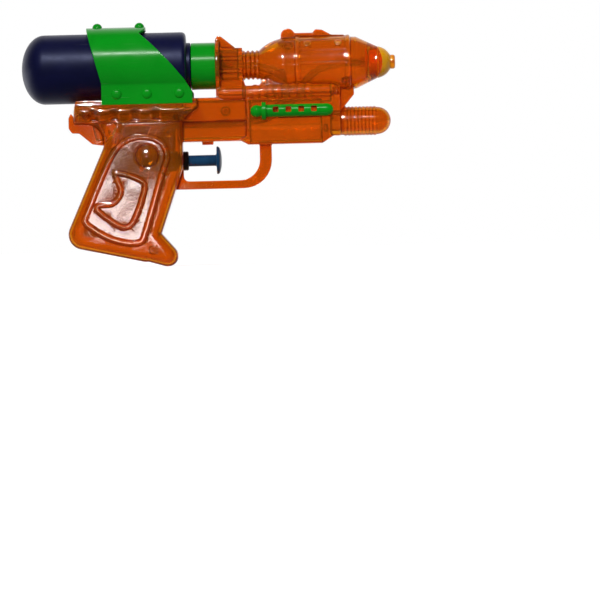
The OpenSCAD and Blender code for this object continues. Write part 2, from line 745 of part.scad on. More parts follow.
// Tang behind the grip, with the knob at the rear of the deck
module tang_form() {
    slab([[deck_end_x - 0.6, ledge_z - 4.2], [deck_end_x - 2, ledge_z - 7], [deck_end_x - 2, grip_h - 3],
        [deck_end_x, grip_h - 5.8], [deck_end_x + 4.2, grip_h - 6], [deck_end_x + 12, beam_z],
        [deck_end_x + 17.4, beam_z - 0.8], [deck_end_x + 26, beam_z], [deck_end_x + 26, grip_h + 3],
        [deck_end_x + 2, grip_h + 3]], 0, 8.4);
}

// Fillet between the grip's back and the underside of the deck, with the grip's rounded edge
module back_fillet() {
    sweep = 90 + grip_back_lean;
    r = 11;
    reach = r * tan(sweep / 2);
    depth = norm([reach, r]) - r;
    half = grip_w / 2;
    translate([grip_x - grip_len - reach, 0, grip_h - r])
        rotate([-90, -90, 0])
            rotate_extrude(angle = sweep) polygon(concat(
                [[r, 0]], arc(r + grip_edge, half - grip_edge, grip_edge, 180, 90),
                [[r + depth, half], [r + depth, 0]]
            ));
}

module tang_cavity() {
    slab([[deck_end_x + 11, grip_h + 4], [deck_end_x + 14, beam_z + wall + 0.4],
        [deck_end_x + 28, beam_z + wall + 0.4], [deck_end_x + 28, grip_h + 4]], -1, 8.4 - wall);
}

// Trigger guard: the outer outline less the finger opening
module guard_form() {
    x0 = grip_x;
    x1 = grip_x + guard_len;
    out_x = x1 + post_t;
    low = guard_z - guard_t;
    out_r = guard_r + guard_t;
    small = 3;
    difference() {
        slab(concat(
            [[x0 - 6, beam_z + 3], [x0 - 6, low]],
            arc(out_x - out_r, low + out_r, out_r, -90, 0),
            [[out_x, beam_z + 3]]
        ), 0, guard_w / 2);
        slab(concat(
            arc(x0 + small, guard_z + small, small, 180, 270, 4),
            arc(x1 - guard_r, guard_z + guard_r, guard_r, -90, 0),
            [[x1, beam_z + 5], [x0, beam_z + 5]]
        ), -1, guard_w);
    }
}

// Raised border, dome and curl on the face of the grip, placed from the dome
dome_x = grip_x - 21.6;
dome_z = trigger_z + 3.3;
dome_d = 12.6;
line_rise = 0.9;

module grip_details() {
    face = grip_w / 2;
    translate([dome_x, face - 0.3, dome_z])
        rotate([-90, 0, 0]) dome(dome_d, 2.3);
    border = [
        [-2.4, 11.5], [8, 8.4], [12.1, 0], [8.9, -10.8], [-1.7, -45.1], [-5.4, -51.2], [-13.2, -51.6],
        [-24.1, -48.3], [-34, -42.2], [-37.7, -38.4], [-36.4, -33.8], [-23, -3.3], [-14, 8.4]
    ];
    curl = [
        [-18.9, -10.6], [-16.4, -10], [-8.9, -12.1], [-3, -15.2], [-1.6, -18.8], [-3.7, -26.5], [-7.3, -35.7],
        [-10.4, -40.7], [-14.7, -42.3], [-19.7, -40], [-26.3, -35.2], [-30.6, -30.9], [-28.6, -28.6],
        [-21.9, -28.2], [-17.6, -24.9], [-15.8, -19.9], [-17.4, -15.4]
    ];
    translate([dome_x, face + line_rise, dome_z])
        rotate([90, 0, 0])
            linear_extrude(line_rise + 0.4) {
                ring_of(border, 2.2);
                ring_of(curl, 1.8);
            }
}

// Groove round the dome
module dome_groove() {
    depth = 0.5;
    width = 1;
    translate([dome_x, grip_w / 2 - depth, dome_z])
        rotate([-90, 0, 0])
            difference() {
                cylinder(r = dome_d / 2 + width, h = 3);
                translate([0, 0, -1]) cylinder(r = dome_d / 2, h = 5);
            }
}

// A smooth closed line of the width w through the points pts
module ring_of(pts, w) {
    n = len(pts);
    turns = concat([pts[n - 1]], pts, [pts[0], pts[1]]);
    line = [for (i = [1:n], k = [0:2]) route_point(turns, i, k / 3)];
    difference() {
        offset(delta = w / 2) polygon(line);
        offset(delta = -w / 2) polygon(line);
    }
}

// Rivet heads on the barrel's side panel
module panel_rivets() {
    for (x = [panel_x + 7.2, panel_end_x - 7])
        translate([x, 0, barrel_z])
            rotate([-43, 0, 0])
                translate([0, 0, barrel_d / 2 + panel_rise]) dome(4.2, 1.2, 1);
}

// One half of the body, on the +Y side
module half_body() {
    difference() {
        union() {
            barrel_form();
            box_form();
            top_form();
            beam_form();
            block_form();
            rail_form();
            rod_form(0);
            bracket_form();
            deck_form();
            tang_form();
            back_fillet();
            grip_form(0, 0);
            toe_form(0, 0);
            guard_form();
            grip_details();
            panel_rivets();
        }
        barrel_cavity();
        box_cavity();
        beam_cavity();
        block_cavity();
        deck_cavity();
        tang_cavity();
        grip_form(-1, wall);
        toe_form(-1, wall);
        rod_form(wall);
        scoop_cuts();
        dome_groove();
        body_holes();
    }
    for (p = pins)
        rod_y(boss_d, p[0], p[1], 0, p[2] - wall / 2);
    pump_ribs();
}

// Holes for the pieces that the shells hold
module body_holes() {
    rod_x(tank_d + 2 * tank_fit, deck_end_x - 5, collar_x, barrel_z);
    rod_x(hub_d + 2 * fit, flange_x - 1, box_x + 1, barrel_z);
    rod_x(cone_spigot_d + 2 * fit, cone_x - cone_seat - 1, cone_x + 1, barrel_z);
    rod_x(bore_d, grip_x - wall - 3, grip_x + 3, trigger_z);
    for (x = clip_pegs)
        rod_y(peg_d + 2 * fit, x, clip_z, block_w / 2 - wall - 2, block_w / 2 + 1);
    for (x = saddle_tabs)
        translate([x - tab_len / 2 - fit, deck_w / 2 - tab_reach - fit, tab_z - fit])
            cube([tab_len + 2 * fit, tab_reach + 1, tab_t + 2 * fit]);
}

// Ribs in the grip that cradle the pump cylinder
module pump_ribs() {
    rib_t = 2;
    for (x = [cyl_x - 9, cyl_x - 23])
        difference() {
            slab([[x, trigger_z - 8], [x + rib_t, trigger_z - 8], [x + rib_t, trigger_z + 8],
                [x, trigger_z + 8]],
                0, grip_w / 2 - wall / 2);
            rod_x(cyl_d + 2 * fit, x - 1, x + rib_t + 1, trigger_z);
        }
}

module left_shell() {
    color(orange) union() {
        half_body();
        for (p = pins)
            rod_y(pin_d, p[0], p[1], -pin_reach, 1);
    }
}

module right_shell() {
    color(orange) difference() {
        mirror([0, 1, 0]) half_body();
        for (p = pins)
            rod_y(pin_d + 2 * fit, p[0], p[1], -pin_reach - 0.5, 1);
    }
}

// Profile [r, x] of the tank, inset by t
function tank_profile(t) = concat(
    [for (a = [0:10:90])
        [(tank_r - t) * sin(a), tank_x + dome_len - (dome_len - t) * cos(a)]],
    [for (p = arc(shoulder_x - shoulder_r, tank_r - shoulder_r, shoulder_r - t, 90, 0, 6)) [p[1], p[0]]]
);

module tank() {
    neck_r = neck_d / 2;
    color(navy) turned(concat(
        tank_profile(0),
        [[bead_d / 2, shoulder_x], [bead_d / 2, bead_x], [neck_r, bead_x], [neck_r, neck_end_x],
            [neck_r - neck_wall, neck_end_x], [neck_r - neck_wall, shoulder_x - tank_wall]],
        [for (i = [len(tank_profile(tank_wall)) - 1:-1:0]) tank_profile(tank_wall)[i]]
    ), barrel_z);
}

module neck_gasket() {
    color(black) turned([
        [neck_d / 2 - neck_wall, gasket_x], [neck_d / 2, gasket_x],
        [neck_d / 2, gasket_x + gasket_t], [neck_d / 2 - neck_wall, gasket_x + gasket_t]
    ], barrel_z);
}

module neck_collar() {
    hub_in = spigot_d / 2 + fit;
    color(green) turned([
        [cup_d / 2, collar_x], [collar_d / 2, collar_x], [collar_d / 2, flange_x], [hub_d / 2, flange_x],
        [hub_d / 2, box_x + fit], [hub_lip_d / 2, box_x + fit], [hub_lip_d / 2, box_x + fit + hub_lip_t],
        [hub_in, box_x + fit + hub_lip_t], [hub_in, cup_floor_x], [cup_d / 2, cup_floor_x]
    ], barrel_z);
}

// Disc in the collar with a stub for the dip tube, a tube through the hub and a barb
module inlet_spigot() {
    stub_d = dip_bore - 2 * fit;
    color(pale) difference() {
        union() {
            turned([
                [0, disc_x], [cup_d / 2 - fit, disc_x], [cup_d / 2 - fit, cup_floor_x],
                [spigot_d / 2, cup_floor_x],
                [spigot_d / 2, spigot_end_x - fit], [barb_d / 2, spigot_end_x - fit],
                [barb_d / 2, spigot_end_x + barb_len], [0, spigot_end_x + barb_len]
            ], barrel_z);
            rod_x(stub_d, disc_x - stub_len, disc_x + 0.5, barrel_z - dip_drop);
        }
        rod_x(barb_bore, cup_floor_x + 0.6, spigot_end_x + barb_len + 1, barrel_z);
        rod_x(barb_bore, disc_x - stub_len - 1, disc_x + 0.8, barrel_z - dip_drop);
        translate([disc_x + 0.4, 0, barrel_z - dip_drop])
            rotate([0, atan2(cup_floor_x + 0.6 - disc_x, dip_drop), 0]) cylinder(d = 1, h = dip_drop + 0.4);
    }
}

dip_bore = dip_d - 1.8;

module dip_tube() {
    x1 = disc_x - fit;
    color(pale) difference() {
        rod_x(dip_d, x1 - dip_len, x1, barrel_z - dip_drop);
        rod_x(dip_bore, x1 - dip_len - 1, x1 + 1, barrel_z - dip_drop);
    }
}

// Saddle: an arch over the tank with flat flanges, cut to its side outline
strap_in_r = tank_r + strap_gap;
strap_out_r = strap_in_r + strap_t;
strap_z = barrel_z + strap_rise;
flange_y = deck_w / 2 + fit;
saddle_front_x = flange_x - saddle_back;
saddle_rear_x = saddle_front_x - saddle_len;
saddle_tabs = [saddle_rear_x + 9, saddle_front_x - 9];
tab_len = 6;
tab_t = 1.2;
tab_reach = 2;
tab_z = ledge_z + 0.7;

// Arch of the radius r with flanges of the half width w, in the cross-section
module arch(r, w, foot) {
    translate([0, strap_z]) circle(r);
    translate([-w, foot]) square([2 * w, strap_z - sqrt(r * r - w * w) - foot]);
}

module tank_saddle() {
    top = strap_z + strap_out_r;
    top_rear_x = saddle_rear_x - saddle_overhang;
    top_front_x = top_rear_x + saddle_top_len;
    foot = ledge_z + fit;
    front_low = [saddle_front_x, foot + saddle_front_h];
    front_high = [top_front_x - 3.6, top - 4];
    color(green) union() {
        intersection() {
            translate([top_rear_x - 1, 0, 0])
                rotate([90, 0, 90])
                    linear_extrude(saddle_len + saddle_overhang + 2) difference() {
                        arch(strap_out_r, flange_y + strap_t, foot);
                        arch(strap_in_r, flange_y, foot - 20);
                    }
            slab(concat(
                [[saddle_rear_x, foot], [saddle_front_x, foot], front_low],
                bowed(front_low, front_high, saddle_bow),
                [front_high, [top_front_x, top - 1.2], [top_front_x, top + 2], [top_rear_x, top + 2]],
                [[top_rear_x, top], [saddle_rear_x, foot + saddle_rear_h]]
            ), -ledge_w, ledge_w);
        }
        for (x = [top_rear_x + 6.6, top_front_x - 3.6])
            translate([x, 0, top - 0.3]) dome(rivet_d, rivet_h + 1.6);
        for (side = [-1, 1]) {
            for (x = [saddle_rear_x + 9, (saddle_rear_x + saddle_front_x) / 2, saddle_front_x - 7.8])
                translate([x, side * (flange_y + strap_t), foot + 6.2])
                    rotate([-90 * side, 0, 0]) dome(rivet_d, rivet_h);
            for (x = saddle_tabs)
                translate([x - tab_len / 2, side > 0 ? flange_y - tab_reach : -flange_y - 0.3, tab_z])
                    cube([tab_len, tab_reach + 0.3, tab_t]);
        }
    }
}

// Side clip on the left face of the front block: a half-round strip with windows
clip_x = block_x + 2.4;
clip_pegs = [clip_x + 4.5, clip_x + clip_len - 5];
peg_d = 2.6;

module side_clip() {
    r = clip_d / 2;
    end_x = clip_x + clip_len;
    neck_x = clip_x + 6.6;
    strip_x = neck_x + 2.6;
    first = 5.8;
    pitch = (clip_len - 18.8) / windows;
    face = block_w / 2 + fit;
    difference() {
        union() {
            turned(concat(
                [[0, clip_x], [r * 0.5, clip_x + 0.2], [r * 0.86, clip_x + 1.6], [r, clip_x + 3.6]],
                [[r * 0.8, neck_x], [r + 1.6, neck_x], [r + 1.6, strip_x], [r, strip_x]],
                [[r, end_x - 3.4], [r * 0.82, end_x - 1.4], [r * 0.4, end_x], [0, end_x]]
            ), clip_z, face, 180);
            for (x = clip_pegs)
                rod_y(peg_d, x, clip_z, face - wall - 1.2, face + 0.6);
        }
        for (i = [0:windows - 1])
            translate([strip_x + first + pitch * i - window / 2, face - 1, clip_z - window / 2 + 0.7])
                cube([window, clip_d, window]);
    }
}

module left_side_clip() {
    color(green) side_clip();
}

module right_side_clip() {
    color(green) mirror([0, 1, 0]) side_clip();
}

module nozzle_cone() {
    spigot_r = cone_spigot_d / 2;
    in_r = tip_stem_d / 2 + fit;
    lip_x = cone_x - cone_seat - fit;
    color(yellow) turned([
        [in_r, lip_x - cone_lip_t], [spigot_r + 1, lip_x - cone_lip_t], [spigot_r + 1, lip_x],
        [spigot_r, lip_x],
        [spigot_r, cone_x], [nose_d / 2 - 0.1, cone_x], [cone_d / 2, tip_x - 0.4], [cone_d / 2 - 0.4, tip_x],
        [in_r, tip_x]
    ], barrel_z);
}

module nozzle_tip() {
    r = tip_d / 2;
    round = 1.1;
    bore = barb_bore / 2;
    color(orange) turned(concat(
        [[bore, tip_stem_x - barb_len], [barb_d / 2, tip_stem_x - barb_len], [barb_d / 2, tip_stem_x]],
        [[tip_stem_d / 2, tip_stem_x], [tip_stem_d / 2, tip_x + fit], [r, tip_x + fit]],
        [for (p = arc(muzzle_x - round, r - round, round, 90, 0, 4)) [p[1], p[0]]],
        [[jet_d / 2, muzzle_x], [jet_d / 2, tip_x - 2], [bore, tip_x - 2.6]]
    ), barrel_z);
}

// Finger plate, stem and the tail that carries the piston
module trigger() {
    r = plate_d / 2;
    color(blue) turned([
        [0, piston_x - 4], [tail_d / 2, piston_x - 4], [tail_d / 2, piston_x], [stem_d / 2, piston_x],
        [stem_d / 2, plate_x - 0.8], [stem_d / 2 + 0.9, plate_x], [r * 0.75, plate_x - 0.2],
        [r - 0.4, plate_x - 0.5],
        [r, plate_x], [r - 0.3, plate_x + 0.7], [r * 0.75, plate_x + plate_t - 0.7],
        [r * 0.4, plate_x + plate_t - 0.15], [0, plate_x + plate_t]
    ], trigger_z);
}

module gland_nut() {
    in_r = stem_d / 2 + slide_fit;
    inner_x = piston_x + 0.2;
    color(black) turned([
        [in_r, inner_x], [bore_d / 2 - fit, inner_x], [bore_d / 2 - fit, grip_x + fit],
        [gland_d / 2, grip_x + fit],
        [gland_d / 2, gland_x - 0.6], [gland_d / 2 - 0.6, gland_x], [in_r, gland_x]
    ], trigger_z);
}

module pump_cylinder() {
    r = bore_d / 2;
    color(black) turned([
        [r, cyl_end_x], [r + cyl_wall, cyl_end_x], [r + cyl_wall, cyl_x], [r, cyl_x]
    ], trigger_z);
}

module piston() {
    r = bore_d / 2 - slide_fit;
    in_r = tail_d / 2 + fit;
    groove_r = bore_d / 2 - slide_fit / 2 - ring_t - fit;
    groove_x = (piston_x + piston_back_x) / 2;
    half = ring_t / 2 + fit;
    color(black) difference() {
        turned([
            [0, piston_back_x], [r, piston_back_x], [r, groove_x - half], [groove_r, groove_x - half],
            [groove_r, groove_x + half], [r, groove_x + half], [r, piston_x], [0, piston_x]
        ], trigger_z);
        rod_x(2 * in_r, piston_x - 4 - fit, piston_x + 1, trigger_z);
    }
}

module piston_ring() {
    color(black)
        translate([(piston_x + piston_back_x) / 2, 0, trigger_z])
            rotate([0, 90, 0])
                rotate_extrude() translate([bore_d / 2 - slide_fit / 2 - ring_t / 2, 0]) circle(d = ring_t);
}

// Return spring between the piston and the plug: a helix of rings, six-sided
spring_r = bore_d / 2 - wire_d / 2 - 0.5;
spring_x0 = plug_x + wire_d / 2 + 0.1;
spring_x1 = piston_back_x - wire_d / 2 - 0.1;
spring_rings = 8;
spring_sides = 6;
spring_path = [for (i = [0:spring_turns * spring_rings])
    let (a = 360 * i / spring_rings)
    [spring_x0 + (spring_x1 - spring_x0) * i / (spring_turns * spring_rings),
        spring_r * cos(a), trigger_z + spring_r * sin(a)]];
spring_gap = min([for (i = [0:len(spring_path) - 1 - spring_rings])
    norm(spring_path[i + spring_rings] - spring_path[i]) - wire_d]);

module return_spring() {
    echo(spring_gap = spring_gap);
    color(steel) tube(spring_path, wire_d / 2, 0, spring_sides);
}

// Direction of a path at its point i
function heading(p, i) =
    let (d = p[min(i + 1, len(p) - 1)] - p[max(i - 1, 0)]) d / norm(d);

// One ring of a tube about the path's point i, kept upright by the Y axis or, on a coil, by the X axis
function tube_ring(p, i, r, sides, up) =
    let (t = heading(p, i), n0 = cross(t, up), n = n0 / norm(n0), b = cross(n, t))
    [for (k = [0:sides - 1]) let (a = 360 * k / sides) p[i] + r * (n * cos(a) + b * sin(a))];

// A tube along a path, solid where the bore's radius is zero
module tube(path, r, bore, sides, up = [1, 0, 0]) {
    n = len(path);
    outer = [for (i = [0:n - 1]) each tube_ring(path, i, r, sides, up)];
    inner = bore > 0 ? [for (i = [0:n - 1]) each tube_ring(path, i, bore, sides, up)] : [];
    off = n * sides;
    last = (n - 1) * sides;
    wall_faces = [for (i = [0:n - 2], k = [0:sides - 1])
        let (a = i * sides + k, b = i * sides + (k + 1) % sides)
        each [[a, a + sides, b], [b, a + sides, b + sides]]];
    bore_faces = bore > 0 ? [for (f = wall_faces) [f[2] + off, f[1] + off, f[0] + off]] : [];
    end_faces = bore > 0
        ? [for (k = [0:sides - 1]) let (j = (k + 1) % sides) each [
            [k, j, k + off], [j, j + off, k + off],
            [last + j, last + k, last + k + off], [last + j, last + k + off, last + j + off]]]
        : concat([for (k = [1:sides - 2]) [0, k, k + 1]],
            [for (k = [1:sides - 2]) [last, last + k + 1, last + k]]);
    polyhedron(concat(outer, inner), concat(wall_faces, bore_faces, end_faces), convexity = 10);
}

// Valve block with its plug, an axial passage and two upright ball chambers
module valve_block() {
    r = passage_d / 2;
    ball_r = chamber_d / 2;
    seat_z = trigger_z - block_h / 2 + fitting_depth;
    fit_r = fitting_d / 2 + fit;
    roof_z = inlet_ball_z + ball_room;
    color(black) difference() {
        union() {
            translate([valve_x - valve_t / 2, -valve_w / 2, trigger_z - block_h / 2])
                cube([valve_t, valve_w, block_h]);
            turned([
                [0, cyl_end_x - 1], [bore_d / 2 - fit, cyl_end_x - 1], [bore_d / 2 - fit, seal_x - seal_half],
                [seal_floor, seal_x - seal_half], [seal_floor, seal_x + seal_half],
                [bore_d / 2 - fit, seal_x + seal_half], [bore_d / 2 - fit, plug_x], [0, plug_x]
            ], trigger_z);
        }
        rod_x(passage_d, valve_x, plug_x + 1, trigger_z);
        upright([
            [0, trigger_z - block_h / 2 - 1], [fit_r, trigger_z - block_h / 2 - 1], [fit_r, seat_z],
            [ball_r, seat_z],
            [ball_r, roof_z], [r, roof_z], [r, outlet_seat_z], [ball_r, outlet_seat_z + seat_rise],
            [ball_r, trigger_z + block_h / 2 - fitting_depth],
            [fit_r, trigger_z + block_h / 2 - fitting_depth],
            [fit_r, trigger_z + block_h / 2 + 1], [0, trigger_z + block_h / 2 + 1]
        ], valve_x);
    }
}

// Ring in the plug's groove
seal_t = 1.2;
seal_x = cyl_end_x + plug_len / 2;
seal_half = seal_t / 2 + fit;
seal_floor = bore_d / 2 - fit - seal_t;

module block_seal() {
    color(black)
        translate([seal_x, 0, trigger_z])
            rotate([0, 90, 0])
                rotate_extrude() translate([bore_d / 2 - fit / 2 - seal_t / 2, 0]) circle(d = seal_t - fit);
}

// Inlet fitting below the block, with the seat of the inlet ball
module inlet_fitting() {
    low = trigger_z - block_h / 2;
    r = passage_d / 2;
    color(pale) upright([
        [barb_bore / 2, low - barb_flange_t - barb_len], [barb_d / 2, low - barb_flange_t - barb_len],
        [barb_d / 2, low - barb_flange_t], [fitting_d / 2 + 1, low - barb_flange_t],
        [fitting_d / 2 + 1, low - fit],
        [fitting_d / 2, low - fit], [fitting_d / 2, low + fitting_depth - fit],
        [chamber_d / 2 - fit, low + fitting_depth - fit],
        [r, inlet_seat_z], [r, low], [barb_bore / 2, low - 0.3]
    ], valve_x);
}

// Outlet fitting above the block, with the room that the outlet ball rises into
module outlet_fitting() {
    high = trigger_z + block_h / 2;
    roof_z = outlet_ball_z + ball_room;
    color(pale) upright([
        [barb_bore / 2, high + barb_flange_t + barb_len], [barb_d / 2, high + barb_flange_t + barb_len],
        [barb_d / 2, high + barb_flange_t], [fitting_d / 2 + 1, high + barb_flange_t],
        [fitting_d / 2 + 1, high + fit],
        [fitting_d / 2, high + fit], [fitting_d / 2, high - fitting_depth + fit],
        [chamber_d / 2, high - fitting_depth + fit], [chamber_d / 2, roof_z], [barb_bore / 2, roof_z]
    ], valve_x);
}

module inlet_ball() {
    color(steel) translate([valve_x, 0, inlet_ball_z]) sphere(d = ball_d);
}

module outlet_ball() {
    color(steel) translate([valve_x, 0, outlet_ball_z]) sphere(d = ball_d);
}

// A point of the smooth curve through a route, a share t along its stretch i
function route_point(p, i, t) =
    let (a = p[max(i - 1, 0)], b = p[i], c = p[i + 1], d = p[min(i + 2, len(p) - 1)])
    0.5 * (2 * b + (c - a) * t + (2 * a - 5 * b + 4 * c - d) * t * t + (3 * b - a - 3 * c + d) * t * t * t);

function smooth_route(p, steps) = concat(
    [for (i = [0:len(p) - 2], k = [0:steps - 1]) route_point(p, i, k / steps)],
    [p[len(p) - 1]]
);

module hose(route) {
    bore_r = (barb_d / 2 + fit) / cos(180 / hose_sides);
    color(hose_grey) tube(smooth_route(route, hose_steps), hose_d / 2, bore_r, hose_sides, [0, 1, 0]);
}

module suction_hose() {
    hose(suction_route);
}

module delivery_hose() {
    hose(delivery_route);
}

right_shell();
left_shell();
tank();
neck_gasket();
neck_collar();
inlet_spigot();
dip_tube();
tank_saddle();
right_side_clip();
left_side_clip();
nozzle_cone();
nozzle_tip();
trigger();
gland_nut();
pump_cylinder();
piston();
piston_ring();
return_spring();
valve_block();
block_seal();
inlet_fitting();
outlet_fitting();
inlet_ball();
outlet_ball();
suction_hose();
delivery_hose();
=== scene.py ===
"""Trigger-pumped water squirter: finished pieces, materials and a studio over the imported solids."""

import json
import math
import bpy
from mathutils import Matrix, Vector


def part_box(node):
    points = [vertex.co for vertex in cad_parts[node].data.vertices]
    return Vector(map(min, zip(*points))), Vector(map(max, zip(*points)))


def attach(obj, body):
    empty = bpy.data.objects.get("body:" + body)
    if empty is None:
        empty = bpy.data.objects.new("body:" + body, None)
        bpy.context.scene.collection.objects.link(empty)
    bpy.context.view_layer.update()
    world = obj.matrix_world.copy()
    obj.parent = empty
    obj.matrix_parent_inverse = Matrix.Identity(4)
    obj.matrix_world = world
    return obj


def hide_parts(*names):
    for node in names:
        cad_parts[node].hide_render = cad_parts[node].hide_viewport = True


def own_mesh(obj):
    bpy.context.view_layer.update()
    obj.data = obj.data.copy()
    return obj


bl_info = {
    "name": "Water squirter",
    "version": (1, 0, 0),
    "blender": (4, 5, 0),
    "location": "View3D > Sidebar > Squirter",
    "description": "Finishes the packed water squirter with moulded shells, trim, hoses and a studio",
    "category": "Object",
}

import bmesh
import bpy
import numpy as np
from mathutils import Matrix, Vector

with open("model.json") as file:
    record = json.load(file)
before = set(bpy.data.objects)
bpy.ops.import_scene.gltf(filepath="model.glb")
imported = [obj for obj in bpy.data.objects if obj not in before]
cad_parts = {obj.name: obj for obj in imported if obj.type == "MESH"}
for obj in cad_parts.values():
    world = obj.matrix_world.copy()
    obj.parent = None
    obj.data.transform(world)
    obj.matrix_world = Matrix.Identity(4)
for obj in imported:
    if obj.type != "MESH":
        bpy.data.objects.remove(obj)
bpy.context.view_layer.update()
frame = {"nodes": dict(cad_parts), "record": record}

MM = 0.001

# The shells mirror the card and the glint lamp, and the tank and the trim mirror the long strip
CARD_MIRRORS = "card_mirrors"
STRIP_MIRRORS = "strip_mirrors"
MIRRORS = {"orange_shell": CARD_MIRRORS, "navy_tank": STRIP_MIRRORS, "green_trim": STRIP_MIRRORS}

# Mesh attribute that says how far a point stands out of its surroundings, which masks painted light on
# ridges and painted shade in hollows, and the height of a full ridge
RELIEF = "relief"
RELIEF_HEIGHT = 0.11 * MM

# Points closer than this are one, in metres: on a solid, and on a surface made here, with its slivers
MERGE = 1e-6
FINE_MERGE, SLIVER = 1e-7, 1e-8

# Rounds of smoothing and most triangles of the moulded copies
SHELL_ROUNDS, SHELL_TRIANGLES = 7, 190000
CLIP_ROUNDS, CLIP_TRIANGLES = 8, 90000

# Stations read from the solids, in metres
TANK_LOW, TANK_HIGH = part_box("tank")
COLLAR_LOW, COLLAR_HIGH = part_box("neck_collar")
CONE_LOW, CONE_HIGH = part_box("nozzle_cone")
TIP_LOW, TIP_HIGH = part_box("nozzle_tip")
PLUNGER_LOW, PLUNGER_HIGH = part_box("trigger")
GLAND_LOW, GLAND_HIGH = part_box("gland_nut")
SADDLE_LOW, SADDLE_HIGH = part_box("tank_saddle")
SPRING_LOW, SPRING_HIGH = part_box("return_spring")
BARREL_Z = (TANK_LOW.z + TANK_HIGH.z) / 2
PUMP_Z = (PLUNGER_LOW.z + PLUNGER_HIGH.z) / 2

# The cone and the lip of the nose over its sides
CONE_LENGTH = 7.8 * MM
NOSE_R, CONE_R = 9.5 * MM, 4.9 * MM
CONE_BULGE = 1.0 * MM
LIP_REACH = 0.38
LIP_WALL = 0.75 * MM

# The studio, in metres: where the camera looks and how high it stands, where the lamps hang, and the corners
# (x, z) and the depth of the cards
AIM = Vector((51.3 * MM, 0, -22.1 * MM))
EYE_Z = 10 * MM
FLOOR_HALF = 30.0
MAIN_PLACE, MAIN_AIM = (-0.35, -1.0, 0.75), (0, 0, 0.08)
STRIP_PLACE, STRIP_AIM = (-0.06, -0.9, 0.8), (0, 0, 0.1)
GLINT_PLACE, GLINT_AIM = (-0.16, -1.0, 0.75), (0, 0, 0.1)
FLAG_CORNERS = [(-0.044, 0.014), (-0.016, 0.086), (-0.06, 0.086), (-0.08, 0.02)]
FLAG_Y = 0.05
CARD_CORNERS = [(-0.13, 0.002), (-0.05, 0.002), (-0.05, 0.12), (-0.13, 0.12)]
CARD_Y = -1.0


def linear(hex_colour):
    """Linear RGBA of an sRGB hex colour."""
    c = np.array([int(hex_colour[i:i + 2], 16) for i in (1, 3, 5)]) / 255
    return (*np.where(c <= 0.04045, c / 12.92, ((c + 0.055) / 1.055) ** 2.4).tolist(), 1.0)


class SquirterSizes(bpy.types.PropertyGroup):
    """Sizes of the finished pieces that the solids leave open."""

    shell_grain: bpy.props.FloatProperty(
        name="Shell grain", default=0.34 * MM, unit="LENGTH",
        description="Mesh spacing of the moulded shells, which rounds their edges")
    clip_grain: bpy.props.FloatProperty(
        name="Clip grain", default=0.16 * MM, unit="LENGTH",
        description="Mesh spacing of the moulded side clips")
    edge: bpy.props.FloatProperty(
        name="Edge radius", default=0.45 * MM, unit="LENGTH",
        description="Rounding of the turned pieces' edges")
    thread_pitch: bpy.props.FloatProperty(
        name="Thread pitch", default=4.2 * MM, unit="LENGTH",
        description="Rise of the tank's neck thread in one turn")
    thread_depth: bpy.props.FloatProperty(
        name="Thread depth", default=0.24 * MM, unit="LENGTH",
        description="How far the thread stands out of the neck")
    hose_diameter: bpy.props.FloatProperty(
        name="Hose diameter", default=5.2 * MM, unit="LENGTH",
        description="Outside of both hoses")
    hose_bore: bpy.props.FloatProperty(
        name="Hose bore", default=3.2 * MM, unit="LENGTH",
        description="Inside of both hoses")
    wire: bpy.props.FloatProperty(
        name="Spring wire", default=0.7 * MM, unit="LENGTH",
        description="Thickness of the return spring's wire")
    spring_turns: bpy.props.IntProperty(
        name="Spring turns", default=6,
        description="Working turns of the return spring")


class SquirterColours(bpy.types.PropertyGroup):
    """Colours of the finishes."""

    shell: bpy.props.FloatVectorProperty(
        name="Shell", default=linear("#ea8f0a"), subtype="COLOR", size=4,
        description="Translucent orange of the body")
    tank: bpy.props.FloatVectorProperty(
        name="Tank", default=linear("#090b3d"), subtype="COLOR", size=4,
        description="Navy of the bottle")
    trim: bpy.props.FloatVectorProperty(
        name="Trim", default=linear("#04a01a"), subtype="COLOR", size=4,
        description="Green of the saddle, collar and clips")
    cone: bpy.props.FloatVectorProperty(
        name="Cone", default=linear("#fcaf06"), subtype="COLOR", size=4,
        description="Yellow of the nozzle cone")
    plunger: bpy.props.FloatVectorProperty(
        name="Plunger", default=linear("#17476f"), subtype="COLOR", size=4,
        description="Blue of the trigger's plunger")


class SquirterStage(bpy.types.PropertyGroup):
    """Camera and light of the studio."""

    distance: bpy.props.FloatProperty(
        name="Camera distance", default=2.5, unit="LENGTH",
        description="From the camera to the object's middle plane")
    frame_width: bpy.props.FloatProperty(
        name="Frame width", default=0.3592, unit="LENGTH",
        description="Width of the picture in the object's middle plane")
    roll: bpy.props.FloatProperty(
        name="Roll", default=math.radians(1.4), subtype="ANGLE",
        description="How far the muzzle is raised in the picture")
    ambient: bpy.props.FloatProperty(
        name="Ambient", default=0.38,
        description="Level of the light from all round")
    sun: bpy.props.FloatProperty(
        name="Main light", default=1.7,
        description="Level of the soft main light")


def add_node(tree, kind, inputs=None, **settings):
    """Adds a node, sets its fields, sets or links its inputs by name or place, and returns its outputs."""
    node = tree.nodes.new(kind)
    for field, value in settings.items():
        setattr(node, field, value)
    for socket, value in (inputs or {}).items():
        if isinstance(value, bpy.types.NodeSocket):
            tree.links.new(value, node.inputs[socket])
        else:
            node.inputs[socket].default_value = value
    return node.outputs


def empty_material(name):
    """A material with no nodes, and its tree."""
    material = bpy.data.materials.new(name)
    material.use_nodes = True
    material.node_tree.nodes.clear()
    return material, material.node_tree


